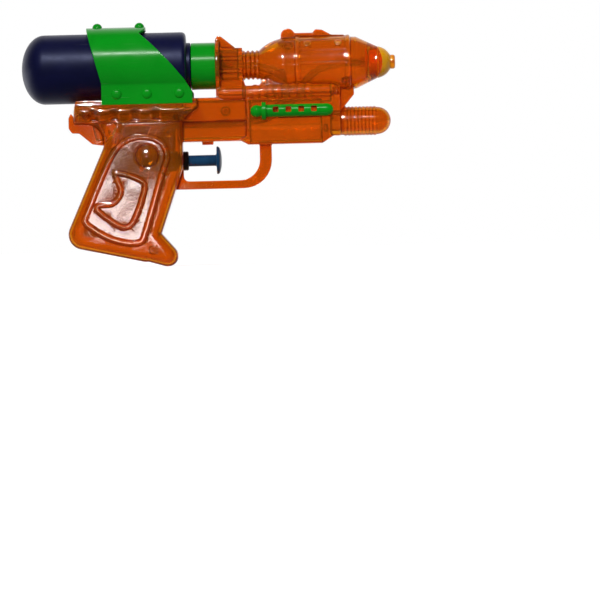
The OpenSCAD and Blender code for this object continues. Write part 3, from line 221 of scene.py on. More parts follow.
def moulded_plastic(name, colour, deeper, flow, roughness, peel, scratches=None, clear=None, edges=None,
                    **shader):
    """Plastic with flow marks in its colour, handling haze in its gloss and a fine peel on its skin.

    flow is the width of the flow marks in mm, roughness the lowest and highest value, and peel the width and
    the height in mm of the skin's texture. scratches gives their length and spacing in mm. clear is the
    colour of the light that a clear plastic lets through to what lies behind it. edges gives the colours of
    the painted light on its ridges and the painted shade in its hollows, where the mesh has the attribute
    relief. The rest are the shader's constants.
    """
    haze_width = 0.45 * flow
    material, tree = empty_material(name)
    place = add_node(tree, "ShaderNodeTexCoord")["Object"]
    marks = add_node(tree, "ShaderNodeTexNoise", {
        "Vector": place, "Scale": 1 / (flow * MM), "Detail": 3.0, "Roughness": 0.55, "Distortion": 0.6})
    spread = add_node(tree, "ShaderNodeMapRange", {
        "Value": marks[0], "From Min": 0.35, "From Max": 0.65})[0]
    tone = add_node(tree, "ShaderNodeMix", {0: spread, 6: deeper, 7: colour}, data_type="RGBA")[2]
    haze = add_node(tree, "ShaderNodeTexNoise", {
        "Vector": place, "Scale": 1 / (haze_width * MM), "Detail": 4.0, "Roughness": 0.6})[0]
    gloss = add_node(tree, "ShaderNodeMapRange", {
        "Value": haze, "From Min": 0.35, "From Max": 0.7,
        "To Min": roughness[0], "To Max": roughness[1]})[0]
    skin = add_node(tree, "ShaderNodeTexNoise", {
        "Vector": place, "Scale": 1 / (peel[0] * MM), "Detail": 2.0})[0]
    if scratches:
        length, spacing = scratches
        slant = (0.0, 0.5, 0.3)
        duller = 0.3
        turned = add_node(tree, "ShaderNodeMapping", {
            "Vector": place, "Rotation": slant,
            "Scale": (1 / (length * MM), 1 / (spacing * MM), 1 / (spacing * MM))})[0]
        lines = add_node(tree, "ShaderNodeTexNoise", {
            "Vector": turned, "Scale": 1.0, "Detail": 1.0})[0]
        rubbed = add_node(tree, "ShaderNodeMapRange", {
            "Value": lines, "From Min": 0.74, "From Max": 0.8})[0]
        paler = tuple(0.85 * c + 0.05 for c in colour[:3]) + (1.0,)
        tone = add_node(tree, "ShaderNodeMix", {0: rubbed, 6: tone, 7: paler}, data_type="RGBA")[2]
        gloss = add_node(tree, "ShaderNodeMath", {
            0: rubbed, 1: duller, 2: gloss}, operation="MULTIPLY_ADD")[0]
    # painted light and shade: ridges painted paler and hollows painted darker, by how far each point stands
    # out
    if edges:
        relief = add_node(tree, "ShaderNodeAttribute", attribute_name=RELIEF)["Fac"]
        for painted_light_and_shade, height in zip(edges, (RELIEF_HEIGHT, -RELIEF_HEIGHT)):
            share = add_node(tree, "ShaderNodeMapRange", {
                "Value": relief, "From Min": 0.2 * height, "From Max": height})[0]
            tone = add_node(tree, "ShaderNodeMix", {
                0: share, 6: tone, 7: painted_light_and_shade}, data_type="RGBA")[2]
    bump = add_node(tree, "ShaderNodeBump", {
        "Height": skin, "Strength": 1.0, "Distance": peel[1] * MM})[0]
    surface = add_node(tree, "ShaderNodeBsdfPrincipled", {
        "Base Color": tone, "Roughness": gloss, "Normal": bump, **shader})[0]
    if clear:
        through = add_node(tree, "ShaderNodeBsdfTransparent", {"Color": clear})[0]
        shadow = add_node(tree, "ShaderNodeLightPath")["Is Shadow Ray"]
        surface = add_node(tree, "ShaderNodeMixShader", {0: shadow, 1: surface, 2: through})[0]
    add_node(tree, "ShaderNodeOutputMaterial", {"Surface": surface})
    return material


def shade(colour, share):
    """A colour with its light cut to a share."""
    return tuple(share * c for c in colour[:3]) + (1.0,)


def orange_polystyrene(colours):
    # Crystal polystyrene with a dye: clear and glossy, moulded in a polished tool, so that light goes through
    # two walls and the pieces inside show dimly, with faint flow marks and the haze of handling. Its ridges
    # are painted paler, a painted glow of light at its edges, and its hollows painted darker, a painted
    # shade.
    return moulded_plastic(
        "moulded_orange_polystyrene", colours.shell, shade(colours.shell, 0.9), flow=30.0,
        roughness=(0.035, 0.08), peel=(1.6, 0.012), clear=linear("#e0701a"),
        edges=(linear("#ff9c24"), linear("#964808")), **{"IOR": 1.55, "Transmission Weight": 0.86})


def navy_polyethylene(colours):
    # Blow-moulded polyethylene: satin and opaque, with the sandy skin of a blasted mould and rubbed patches.
    return moulded_plastic(
        "blown_navy_polyethylene", colours.tank, shade(colours.tank, 0.7), flow=22.0,
        roughness=(0.36, 0.44), peel=(0.7, 0.012), scratches=(14.0, 0.5),
        **{"IOR": 1.51, "Specular IOR Level": 0.75, "Specular Tint": (0.6, 0.66, 1.0, 1.0)})


def green_polypropylene(colours):
    # Polypropylene from a polished mould: a full, glossy colour that shows fine pale scratches.
    return moulded_plastic(
        "moulded_green_polypropylene", colours.trim, shade(colours.trim, 0.9), flow=26.0,
        roughness=(0.16, 0.24), peel=(1.2, 0.008), scratches=(30.0, 0.3), **{"IOR": 1.49})


def yellow_polyethylene(colours):
    # Soft polyethylene: a waxy sheen and a little light under the skin.
    return moulded_plastic(
        "moulded_yellow_polyethylene", colours.cone, shade(colours.cone, 0.85), flow=9.0,
        roughness=(0.26, 0.36), peel=(0.8, 0.012),
        **{"IOR": 1.51, "Subsurface Weight": 0.15, "Subsurface Radius": (0.0012, 0.0008, 0.0002)})


def blue_polypropylene(colours):
    # Polypropylene plunger: even colour with a dull sheen where it runs through the gland.
    return moulded_plastic(
        "moulded_blue_polypropylene", colours.plunger, shade(colours.plunger, 0.75), flow=8.0,
        roughness=(0.3, 0.42), peel=(0.7, 0.012), scratches=(9.0, 0.35),
        **{"IOR": 1.49, "Specular IOR Level": 0.3})


def black_nylon(_):
    # Nylon gland, pump and valve block: near black, with a semi-matt skin.
    return moulded_plastic(
        "moulded_black_nylon", linear("#101012"), linear("#070708"), flow=6.0,
        roughness=(0.34, 0.46), peel=(0.5, 0.015), **{"IOR": 1.53})


def black_rubber(_):
    # Rubber rings and gasket: dull and soft, dusted by the moulding powder.
    return moulded_plastic(
        "cured_black_rubber", linear("#1a1a1b"), linear("#0d0d0e"), flow=4.0,
        roughness=(0.62, 0.78), peel=(0.35, 0.02), **{"IOR": 1.52})


def natural_polypropylene(_):
    # Undyed polypropylene: milky white, light passes a little way into it.
    return moulded_plastic(
        "moulded_natural_polypropylene", linear("#e2ddd0"), linear("#cfc8b8"), flow=9.0,
        roughness=(0.28, 0.4), peel=(0.8, 0.012),
        **{"IOR": 1.49, "Subsurface Weight": 0.2, "Subsurface Radius": (0.002, 0.0018, 0.0014)})


def spring_steel(_):
    # Drawn spring wire, and the valves' balls: grey metal with fine marks and a thin film of oil.
    return moulded_plastic(
        "drawn_spring_steel", linear("#8d8f93"), linear("#6d6e72"), flow=3.0,
        roughness=(0.22, 0.36), peel=(0.3, 0.01), **{"Metallic": 1.0})


def clear_vinyl(_):
    # Extruded soft vinyl tube: clear with a grey cast and slightly wavy inside. Its IOR is below that of
    # vinyl, so that the hoses bend the light less and show only faintly in the shells.
    return moulded_plastic(
        "extruded_clear_vinyl", linear("#eef0ea"), linear("#e2e5dc"), flow=12.0,
        roughness=(0.12, 0.24), peel=(2.0, 0.02), clear=linear("#f4f5f1"),
        **{"IOR": 1.2, "Transmission Weight": 0.97})


FINISHES = {
    "orange_shell": orange_polystyrene,
    "navy_tank": navy_polyethylene,
    "green_trim": green_polypropylene,
    "yellow_cone": yellow_polyethylene,
    "blue_plunger": blue_polypropylene,
    "black_plastic": black_nylon,
    "black_rubber": black_rubber,
    "pale_plastic": natural_polypropylene,
    "spring_steel": spring_steel,
    "clear_hose": clear_vinyl,
}
made_finishes = {}


def finish_of(slot):
    """The material of a slot of the record, made once."""
    if slot not in made_finishes:
        made_finishes[slot] = FINISHES[slot](bpy.context.scene.squirter_colours)
    return made_finishes[slot]


def grid_faces(rows, columns, close_rows=False, close_columns=True):
    """Quads of a grid whose rows and columns close on themselves where asked."""
    i = np.arange(rows if close_rows else rows - 1)[:, None]
    j = np.arange(columns if close_columns else columns - 1)[None, :]
    below, right = (i + 1) % rows, (j + 1) % columns
    return np.stack([i * columns + j, i * columns + right, below * columns + right, below * columns + j],
                    axis=-1).reshape(-1, 4)


def joined(*surfaces):
    """One list of points and faces from several."""
    counts = np.cumsum([0] + [len(points) for points, _ in surfaces])
    points = np.concatenate([points for points, _ in surfaces])
    faces = np.concatenate([faces + start for (_, faces), start in zip(surfaces, counts)])
    return points, faces


def mesh_of(name, points, faces, closed=True):
    """A mesh of points and quads, with doubles merged and, where it is closed, its faces turned outwards."""
    mesh = bpy.data.meshes.new(name)
    mesh.from_pydata(np.asarray(points).tolist(), [], np.asarray(faces).tolist())
    work = bmesh.new()
    work.from_mesh(mesh)
    bmesh.ops.remove_doubles(work, verts=work.verts, dist=FINE_MERGE)
    bmesh.ops.dissolve_degenerate(work, dist=SLIVER, edges=work.edges)
    if closed:
        bmesh.ops.recalc_face_normals(work, faces=work.faces)
    work.to_mesh(mesh)
    work.free()
    mesh.shade_smooth()
    return mesh


def piece(name, mesh, body, slot, *nodes):
    """A finished piece that rides on a body and stands for CAD nodes."""
    made = bpy.data.objects.new(name, mesh)
    bpy.context.scene.collection.objects.link(made)
    mesh.materials.clear()
    mesh.materials.append(finish_of(slot))
    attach(made, body)
    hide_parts(*nodes)
    if slot in MIRRORS:
        bpy.data.collections[MIRRORS[slot]].objects.link(made)
    return made


def filleted(corners, steps=5, ring=False):
    """Outline through corners (x, r, radius): one with a radius becomes an arc that touches both sides.

    In a ring the first and the last corner are rounded too.
    """
    if ring:
        return filleted(corners[-1:] + corners + corners[:1], steps)[1:-1]
    corners = np.asarray(corners, float)
    least_turn, most_reach = 1e-3, 0.49
    outline = [corners[0, :2]]
    for before, here, after in zip(corners[:-2], corners[1:-1], corners[2:]):
        u, v = before[:2] - here[:2], after[:2] - here[:2]
        lu, lv = np.linalg.norm(u), np.linalg.norm(v)
        u, v = u / lu, v / lv
        half = math.acos(np.clip(u @ v, -1, 1)) / 2
        if here[2] <= 0 or half < least_turn or half > math.pi / 2 - least_turn:
            outline.append(here[:2])
            continue
        reach = min(here[2] / math.tan(half), most_reach * lu, most_reach * lv)
        t = np.linspace(0, 1, steps + 1)[:, None]
        a, b = here[:2] + u * reach, here[:2] + v * reach
        # a quadratic curve from one touching point to the other, close to the arc at these small radii
        outline.extend((1 - t) ** 2 * a + 2 * t * (1 - t) * here[:2] + t ** 2 * b)
    outline.append(corners[-1, :2])
    return np.array(outline)


def lathe(outline, z, sides=128, close=True, swell=None):
    """Surface turned about the line y = 0 at height z: (x, r) goes to (x, r cos a, z + r sin a).

    swell, where given, is a function of x, r and the angle a that returns the radius there.
    """
    a = np.linspace(0, 2 * np.pi, sides, endpoint=False)[None, :]
    x, r = outline[:, :1] + 0 * a, outline[:, 1:] + 0 * a
    if swell:
        r = swell(x, r, a + 0 * x)
    points = np.stack([x, r * np.cos(a), z + r * np.sin(a)], axis=-1).reshape(-1, 3)
    return points, grid_faces(len(outline), sides, close)


def turned(name, outline, z, sides, body, slot, node, close=True, swell=None):
    """A finished piece that is turned from an outline and stands for one CAD node."""
    mesh = mesh_of(name, *lathe(outline, z, sides, close, swell))
    piece(name, mesh, body, slot, node)


def smooth_route(points, steps):
    """Curve through points: on each stretch the cubic that leaves and arrives along its neighbours' chord."""
    p = np.asarray(points, float)
    padded = np.concatenate([p[:1], p, p[-1:]])
    a, b, c, d = padded[:-3], padded[1:-2], padded[2:-1], padded[3:]
    t = np.arange(steps)[None, :, None] / steps
    a, b, c, d = (q[:, None, :] for q in (a, b, c, d))
    curve = 0.5 * (2 * b + (c - a) * t + (2 * a - 5 * b + 4 * c - d) * t ** 2
                   + (3 * b - a - 3 * c + d) * t ** 3)
    return np.concatenate([curve.reshape(-1, 3), p[-1:]])


def tube(path, radius, across, sides=24, bore=None):
    """Rings about a path: point + radius (cos a n + sin a b), where n is square to the path and to across.

    With a bore the inner wall runs back, so that the tube is one closed wall, and without one its ends close.
    """
    heading = np.gradient(path, axis=0)
    heading /= np.linalg.norm(heading, axis=1, keepdims=True)
    n = np.cross(heading, np.asarray(across, float))
    n /= np.linalg.norm(n, axis=1, keepdims=True)
    b = np.cross(n, heading)
    a = np.linspace(0, 2 * np.pi, sides, endpoint=False)[None, :, None]
    spoke = n[:, None, :] * np.cos(a) + b[:, None, :] * np.sin(a)
    centre = path[:, None, :]
    if bore is None:
        rows = np.concatenate([
            centre[:1] + 0 * spoke[:1], centre + radius * spoke, centre[-1:] + 0 * spoke[-1:]])
    else:
        rows = np.concatenate([centre + radius * spoke, (centre + bore * spoke)[::-1]])
    return rows.reshape(-1, 3), grid_faces(len(rows), sides, bore is not None)


def dome(centre, direction, radius, height, rings=9, sides=32):
    """Rivet head with a sunk foot: an ellipsoid, radius sin t across and height cos t along a direction."""
    direction = np.asarray(direction, float)
    helper = np.array([1.0, 0, 0]) if abs(direction[0]) < 0.9 else np.array([0, 1.0, 0])
    n = np.cross(direction, helper)
    n /= np.linalg.norm(n)
    b = np.cross(direction, n)
    t = np.linspace(0, np.pi, 2 * rings)[:, None, None]
    a = np.linspace(0, 2 * np.pi, sides, endpoint=False)[None, :, None]
    points = (np.asarray(centre, float) + height * np.cos(t) * direction
              + radius * np.sin(t) * (np.cos(a) * n + np.sin(a) * b))
    return points.reshape(-1, 3), grid_faces(2 * rings, sides)


def edge_ends(mesh):
    """Numbers of the points at the two ends of each edge."""
    ends = np.empty(2 * len(mesh.edges), np.int32)
    mesh.edges.foreach_get("vertices", ends)
    return ends[0::2], ends[1::2]


def relief_of(mesh, rounds=12):
    """How far each point stands out of the mean of its surroundings, along its normal.

    The mean is taken in rounds, each half of the way to the neighbours' mean.
    """
    count = len(mesh.vertices)
    points, normals = np.empty(3 * count, np.float32), np.empty(3 * count, np.float32)
    mesh.vertices.foreach_get("co", points)
    mesh.vertex_normals.foreach_get("vector", normals)
    points, normals = points.reshape(-1, 3), normals.reshape(-1, 3)
    a, b = edge_ends(mesh)
    degree = np.maximum(np.bincount(a, minlength=count) + np.bincount(b, minlength=count), 1)[:, None]
    mean = points.astype(float)
    for _ in range(rounds):
        total = np.stack([
            np.bincount(a, mean[b, k], count) + np.bincount(b, mean[a, k], count) for k in range(3)], axis=1)
        mean = 0.5 * (mean + total / degree)
    return ((points - mean) * normals).sum(axis=1)


def without_islands(mesh, smallest=100):
    """Takes slivers and loose islands of fewer points than the smallest out of a mesh.

    Each point takes the lowest number among its neighbours until all points of an island share one.
    """
    work = bmesh.new()
    work.from_mesh(mesh)
    bmesh.ops.dissolve_degenerate(work, dist=MERGE, edges=work.edges)
    bmesh.ops.triangulate(work, faces=work.faces)
    work.to_mesh(mesh)
    a, b = edge_ends(mesh)
    island = np.arange(len(mesh.vertices))
    settled = False
    while not settled:
        lower = island.copy()
        np.minimum.at(lower, a, island[b])
        np.minimum.at(lower, b, island[a])
        lower = lower[lower]
        settled = np.array_equal(lower, island)
        island = lower
    small = np.flatnonzero(np.bincount(island, minlength=len(island))[island] < smallest)
    work.verts.ensure_lookup_table()
    bmesh.ops.delete(work, geom=[work.verts[i] for i in small], context="VERTS")
    work.to_mesh(mesh)
    work.free()
    mesh.validate()


def evaluated_mesh(helper):
    """A mesh of its own of an object with its modifiers."""
    return bpy.data.meshes.new_from_object(helper.evaluated_get(bpy.context.evaluated_depsgraph_get()))


def moulded_copy(name, node, grain, rounds, limit, extra=None):
    """Mesh of a CAD node with the rounded edges that a mould gives.

    A merged copy, joined with any extra closed surfaces, is remeshed at an even grain, smoothed for a number
    of rounds, given the attribute relief, thinned to a limit of triangles and cleared of loose islands.
    """
    work = bmesh.new()
    work.from_mesh(frame["nodes"][node].data)
    bmesh.ops.remove_doubles(work, verts=work.verts, dist=MERGE)
    if extra is not None:
        addition = mesh_of(name + "_extra", *extra)
        work.from_mesh(addition)
        bpy.data.meshes.remove(addition)
    source = bpy.data.meshes.new(name + "_source")
    work.to_mesh(source)
    work.free()
    helper = bpy.data.objects.new(name + "_source", source)
    bpy.context.scene.collection.objects.link(helper)
    remesh = helper.modifiers.new("grain", "REMESH")
    remesh.mode = "VOXEL"
    remesh.voxel_size = grain
    remesh.use_smooth_shade = True
    soften = helper.modifiers.new("soften", "SMOOTH")
    soften.factor = 0.5
    soften.iterations = rounds
    made = evaluated_mesh(helper)
    made.attributes.new(RELIEF, "FLOAT", "POINT").data.foreach_set("value", relief_of(made))
    made.calc_loop_triangles()
    triangles = len(made.loop_triangles)
    if triangles > limit:
        helper.data = made
        helper.modifiers.clear()
        thin = helper.modifiers.new("thin", "DECIMATE")
        thin.ratio = limit / triangles
        made = evaluated_mesh(helper)
    bpy.data.objects.remove(helper)
    without_islands(made)
    if not made.polygons:
        raise RuntimeError(f"the moulded copy of {node} is empty")
    made.name = name
    made.shade_smooth()
    return made


class SQUIRTER_OT_shells(bpy.types.Operator):
    """Makes both halves of the translucent body, with the edges that a mould gives"""

    bl_idname = "squirter.shells"
    bl_label = "Body shells"

    def execute(self, context):
        sizes = context.scene.squirter_sizes
        for node, side in (("right_shell", -1), ("left_shell", 1)):
            mesh = moulded_copy(f"{node}_moulded", node, sizes.shell_grain, SHELL_ROUNDS, SHELL_TRIANGLES,
                                joined(panel_marks(side), nose_lip(side)))
            piece(f"{node}_moulded", mesh, "housing", "orange_shell", node)
        return {"FINISHED"}


def panel_marks(side):
    """Two fine ridges along the panel of one side of the barrel, each a tube sunk a little over half."""
    radius = 16.3 * MM
    start, end = 54.4 * MM, 82.4 * MM
    ridge_r = 0.5 * MM
    heights = (8.0 * MM, -0.4 * MM)
    steps = 40
    marks = []
    for height in heights:
        x = np.linspace(start, end, steps)
        y = np.full(steps, side * math.sqrt(radius ** 2 - height ** 2))
        path = np.stack([x, y, np.full(steps, BARREL_Z + height)], axis=1)
        marks.append(tube(path, ridge_r, (0, 0, 1), 12))
    return joined(*marks)


def cone_side(t):
    """Points (x, r) of the cone's bulged side: a straight line plus 4 bulge t (1 - t) square to it."""
    start = np.array([CONE_HIGH.x - CONE_LENGTH, NOSE_R])
    end = np.array([CONE_HIGH.x - 0.4 * MM, CONE_R])
    out = np.array([start[1] - end[1], end[0] - start[0]])
    out = out / np.linalg.norm(out) * CONE_BULGE
    t = np.asarray(t, float)[..., None]
    return start + (end - start) * t + out * 4 * t * (1 - t)


def nose_lip(side):
    """Lip of one half of the nose over the cone, furthest out at the side and ending in the middle plane.

    The angle a runs from below to above. The reach along the cone's side is LIP_REACH cos^2 a, and the lip is
    a closed skin between the cone and LIP_WALL above it, which thins towards its rim.
    """
    rows, steps = 61, 12
    under, root, thinning = 0.05 * MM, 0.6 * MM, 0.96
    a = np.linspace(-np.pi / 2, np.pi / 2, rows)[:, None]
    reach = LIP_REACH * np.cos(a) ** 2
    t = np.concatenate([np.linspace(0, 1, steps), np.linspace(1, 0, steps)])[None, :]
    lift = np.concatenate([np.full(steps, LIP_WALL), np.full(steps, under)])[None, :]
    line = cone_side(reach * t)
    fade = np.sqrt(np.clip(np.cos(a), 0, 1))
    x = line[..., 0] - root * (t == 0) * fade
    r = line[..., 1] + lift * np.sqrt(1 - thinning * t ** 4) * fade
    points = np.stack([x, side * r * np.cos(a), BARREL_Z + r * np.sin(a)], axis=-1).reshape(-1, 3)
    return points, grid_faces(rows, 2 * steps)


class SQUIRTER_OT_tank(bpy.types.Operator):
    """Turns the bottle: a domed rear, a round shoulder, a bead and a threaded neck"""

    bl_idname = "squirter.tank"
    bl_label = "Tank"

    def execute(self, context):
        sizes = context.scene.squirter_sizes
        radius = (TANK_HIGH.z - TANK_LOW.z) / 2
        dome_len, shoulder_r, wall = 13.8 * MM, 4.2 * MM, 1.6 * MM
        bead_r, bead_len = 14.2 * MM, 2.7 * MM
        neck_r, neck_len, neck_wall, neck_rings = 11.6 * MM, 11.3 * MM, 1.8 * MM, 60
        neck_x = TANK_HIGH.x
        shoulder_x = neck_x - neck_len
        bead_x = shoulder_x + bead_len
        a = np.linspace(0, np.pi / 2, 24)
        rear = np.stack([TANK_LOW.x + dome_len * (1 - np.cos(a)), radius * np.sin(a)], axis=1)
        inner_rear = np.stack([
            TANK_LOW.x + dome_len - (dome_len - wall) * np.cos(a), (radius - wall) * np.sin(a)], axis=1)
        front = filleted([
            (*rear[-1], 0), (shoulder_x, radius, shoulder_r), (shoulder_x, bead_r, 0.5 * MM),
            (bead_x, bead_r, 0.8 * MM), (bead_x, neck_r, 0.4 * MM), (bead_x + 0.9 * MM, neck_r, 0)], 8)
        along = np.linspace(bead_x + 1.1 * MM, neck_x - 0.6 * MM, neck_rings)
        neck = np.stack([along, np.full(neck_rings, neck_r)], axis=1)
        inside = filleted([
            (neck_x - 0.4 * MM, neck_r, 0), (neck_x, neck_r, 0.3 * MM),
            (neck_x, neck_r - neck_wall, 0.3 * MM), (shoulder_x - wall, neck_r - neck_wall, 0.6 * MM),
            (shoulder_x - wall, radius - wall, shoulder_r - wall), (*inner_rear[-1], 0)])
        outline = np.concatenate([rear, front[1:], neck, inside, inner_rear[-2::-1]])

        def threaded(x, r, angle):
            """Adds a rounded helical ridge to the neck: cos^2 of the phase x / pitch - angle / turn."""
            phase = (x - bead_x) / sizes.thread_pitch - angle / (2 * np.pi)
            ridge = np.clip(np.cos(2 * np.pi * phase), 0, 1) ** 2
            fade = np.clip(np.minimum(x - bead_x - 0.8 * MM, neck_x - 0.5 * MM - x) / (0.6 * MM), 0, 1)
            on_neck = np.abs(r - neck_r) < MERGE
            return r + np.where(on_neck, sizes.thread_depth * ridge * fade, 0)

        turned("tank_bottle", outline, BARREL_Z, 160, "bottle", "navy_tank", "tank", False, threaded)
        return {"FINISHED"}


class SQUIRTER_OT_collar(bpy.types.Operator):
    """Turns the plain green collar that takes the tank's neck"""

    bl_idname = "squirter.collar"
    bl_label = "Neck collar"

    def execute(self, context):
        edge = context.scene.squirter_sizes.edge
        radius = (COLLAR_HIGH.z - COLLAR_LOW.z) / 2
        cup_r, hub_r, lip_r, bore_r = 11.9 * MM, 6.2 * MM, 7.3 * MM, 3.95 * MM
        face_x, floor_x, lip_x = COLLAR_LOW.x + 14.4 * MM, COLLAR_LOW.x + 11.8 * MM, COLLAR_HIGH.x - 1.8 * MM
        corners = [
            (floor_x, cup_r, 0.3 * MM), (COLLAR_LOW.x, cup_r, 0.3 * MM), (COLLAR_LOW.x, radius, edge),
            (face_x, radius, 0.6 * edge), (face_x, hub_r, 0.2 * MM), (lip_x, hub_r, 0.1 * MM),
            (lip_x, lip_r, 0.2 * MM), (COLLAR_HIGH.x, lip_r, 0.3 * MM), (COLLAR_HIGH.x, bore_r, 0.1 * MM),
            (floor_x, bore_r, 0.1 * MM)]
        outline = filleted(corners, ring=True)
        turned("neck_collar_turned", outline, BARREL_Z, 144, "housing", "green_trim", "neck_collar")
        return {"FINISHED"}


class SQUIRTER_OT_saddle(bpy.types.Operator):
    """Bends the green strap over the tank, with its riveted side flanges"""

    bl_idname = "squirter.saddle"
    bl_label = "Tank saddle"

    def execute(self, context):
        thickness, edge_r, arch_r, flange_y = 1.6 * MM, 0.35 * MM, 23.4 * MM, 20.35 * MM
        foot_len, top_len, overhang, bow_out = 54.0 * MM, 35.4 * MM, 9.0 * MM, 1.6 * MM
        rear_h, front_h = 12.6 * MM, 7.2 * MM
        rivet_r, rivet_h, rivet_z = 3.0 * MM, 1.4 * MM, 6.2 * MM
        arch_z = BARREL_Z + 0.9 * MM
        foot, top = SADDLE_LOW.z, arch_z + arch_r
        front_x, rear_x = SADDLE_HIGH.x, SADDLE_HIGH.x - foot_len
        top_rear_x = rear_x - overhang
        top_front_x = top_rear_x + top_len
        start = math.acos(flange_y / arch_r)
        crease = arch_z - arch_r * math.sin(start)
        rise = np.linspace(foot, crease, 14)
        a = np.linspace(-start, math.pi + start, 121)
        upright = np.full(len(rise) - 1, flange_y)
        y = np.concatenate([upright, arch_r * np.cos(a), -upright])
        z = np.concatenate([rise[:-1], arch_z + arch_r * np.sin(a), rise[-2::-1]])
        rear = np.interp(z, [foot, foot + rear_h, top], [rear_x, rear_x, top_rear_x])
        low = np.array([front_x, foot + front_h])
        high = np.array([top_front_x - 3.6 * MM, top - 4 * MM])
        slope = high - low
        s = np.linspace(0, 1, 17)[:, None]
        # the sloping edge bows forwards: low + slope s + 4 bow s (1 - s), square to the slope
        bow = np.array([slope[1], -slope[0]]) / np.linalg.norm(slope) * bow_out
        edge = low + slope * s + bow * 4 * s * (1 - s)
        front = np.interp(z, [foot, *edge[:, 1], top - 1.2 * MM, top],
                          [front_x, *edge[:, 0], top_front_x, top_front_x])
        t = np.linspace(0, 1, 49)[None, :]
        x = rear[:, None] + (front - rear)[:, None] * t
        points = np.stack([x, y[:, None] + 0 * t, z[:, None] + 0 * t], axis=-1).reshape(-1, 3)
        faces = grid_faces(len(y), t.size, close_columns=False)
        strap = mesh_of("tank_saddle_strap", points, faces, closed=False)
        strap.flip_normals()
        made = piece("tank_saddle_strap", strap, "housing", "green_trim", "tank_saddle")
        wall = made.modifiers.new("wall", "SOLIDIFY")
        wall.thickness = thickness
        wall.offset = -1.0
        soft = made.modifiers.new("edges", "BEVEL")
        soft.width = edge_r
        soft.segments = 3
        soft.limit_method = "ANGLE"
        soft.angle_limit = math.radians(50)
        side_rivets = [
            dome((rivet_x, side * flange_y, foot + rivet_z), (0, side, 0), rivet_r, rivet_h)
            for side in (-1, 1)
            for rivet_x in (rear_x + 9 * MM, (rear_x + front_x) / 2, front_x - 7.8 * MM)]
        top_rivets = [
            dome((rivet_x, 0, top - 0.3 * MM), (0, 0, 1), rivet_r, rivet_h + 1.6 * MM)
            for rivet_x in (top_rear_x + 6.6 * MM, top_front_x - 3.6 * MM)]
        heads = mesh_of("tank_saddle_rivets", *joined(*side_rivets, *top_rivets))
        piece("tank_saddle_rivets", heads, "housing", "green_trim")
        return {"FINISHED"}


class SQUIRTER_OT_clips(bpy.types.Operator):
    """Makes the green strips with square windows, one on each side"""

    bl_idname = "squirter.clips"
    bl_label = "Side clips"

    def execute(self, context):
        grain = context.scene.squirter_sizes.clip_grain
        for node in ("right_side_clip", "left_side_clip"):
            mesh = moulded_copy(f"{node}_moulded", node, grain, CLIP_ROUNDS, CLIP_TRIANGLES)
            piece(f"{node}_moulded", mesh, "housing", "green_trim", node)
        return {"FINISHED"}


class SQUIRTER_OT_nozzle(bpy.types.Operator):
    """Turns the yellow cone and the small tip with the jet hole"""

    bl_idname = "squirter.nozzle"
    bl_label = "Nozzle"

    def execute(self, context):
        spigot_r, bore_r = 8.0 * MM, 3.05 * MM
        cone_x = CONE_HIGH.x - CONE_LENGTH
        lip_x = CONE_LOW.x + 1.6 * MM
        side = cone_side(np.linspace(0, 1, 14))
        spigot = filleted([
            (CONE_HIGH.x, bore_r, 0), (CONE_LOW.x, bore_r, 0.1 * MM),
            (CONE_LOW.x, spigot_r + 1 * MM, 0.2 * MM), (lip_x, spigot_r + 1 * MM, 0.2 * MM),
            (lip_x, spigot_r, 0.1 * MM), (cone_x, spigot_r, 0.1 * MM), (cone_x, NOSE_R, 0)])
        outline = np.concatenate([spigot, side[1:], [[CONE_HIGH.x, CONE_R - 0.4 * MM]]])
        turned("nozzle_cone_turned", outline, BARREL_Z, 112, "housing", "yellow_cone", "nozzle_cone")

        tip_r, stem_r, barb_r, barb_bore, jet_r = 4.2 * MM, 3.0 * MM, 1.55 * MM, 0.9 * MM, 0.6 * MM
        seat_x = CONE_HIGH.x + 0.05 * MM
        stem_x = TIP_LOW.x + 6.0 * MM
        corners = [
            (TIP_LOW.x, barb_bore, 0), (TIP_LOW.x, barb_r, 0.2 * MM), (stem_x, barb_r, 0.1 * MM),
            (stem_x, stem_r, 0.2 * MM), (seat_x, stem_r, 0.1 * MM), (seat_x, tip_r, 0.5 * MM),
            (TIP_HIGH.x, tip_r, 1.4 * MM), (TIP_HIGH.x, jet_r, 0.25 * MM), (seat_x - 2 * MM, jet_r, 0),
            (seat_x - 2.6 * MM, barb_bore, 0)]
        outline = filleted(corners, 7)
        turned("nozzle_tip_turned", outline, BARREL_Z, 96, "housing", "orange_shell", "nozzle_tip")
        return {"FINISHED"}


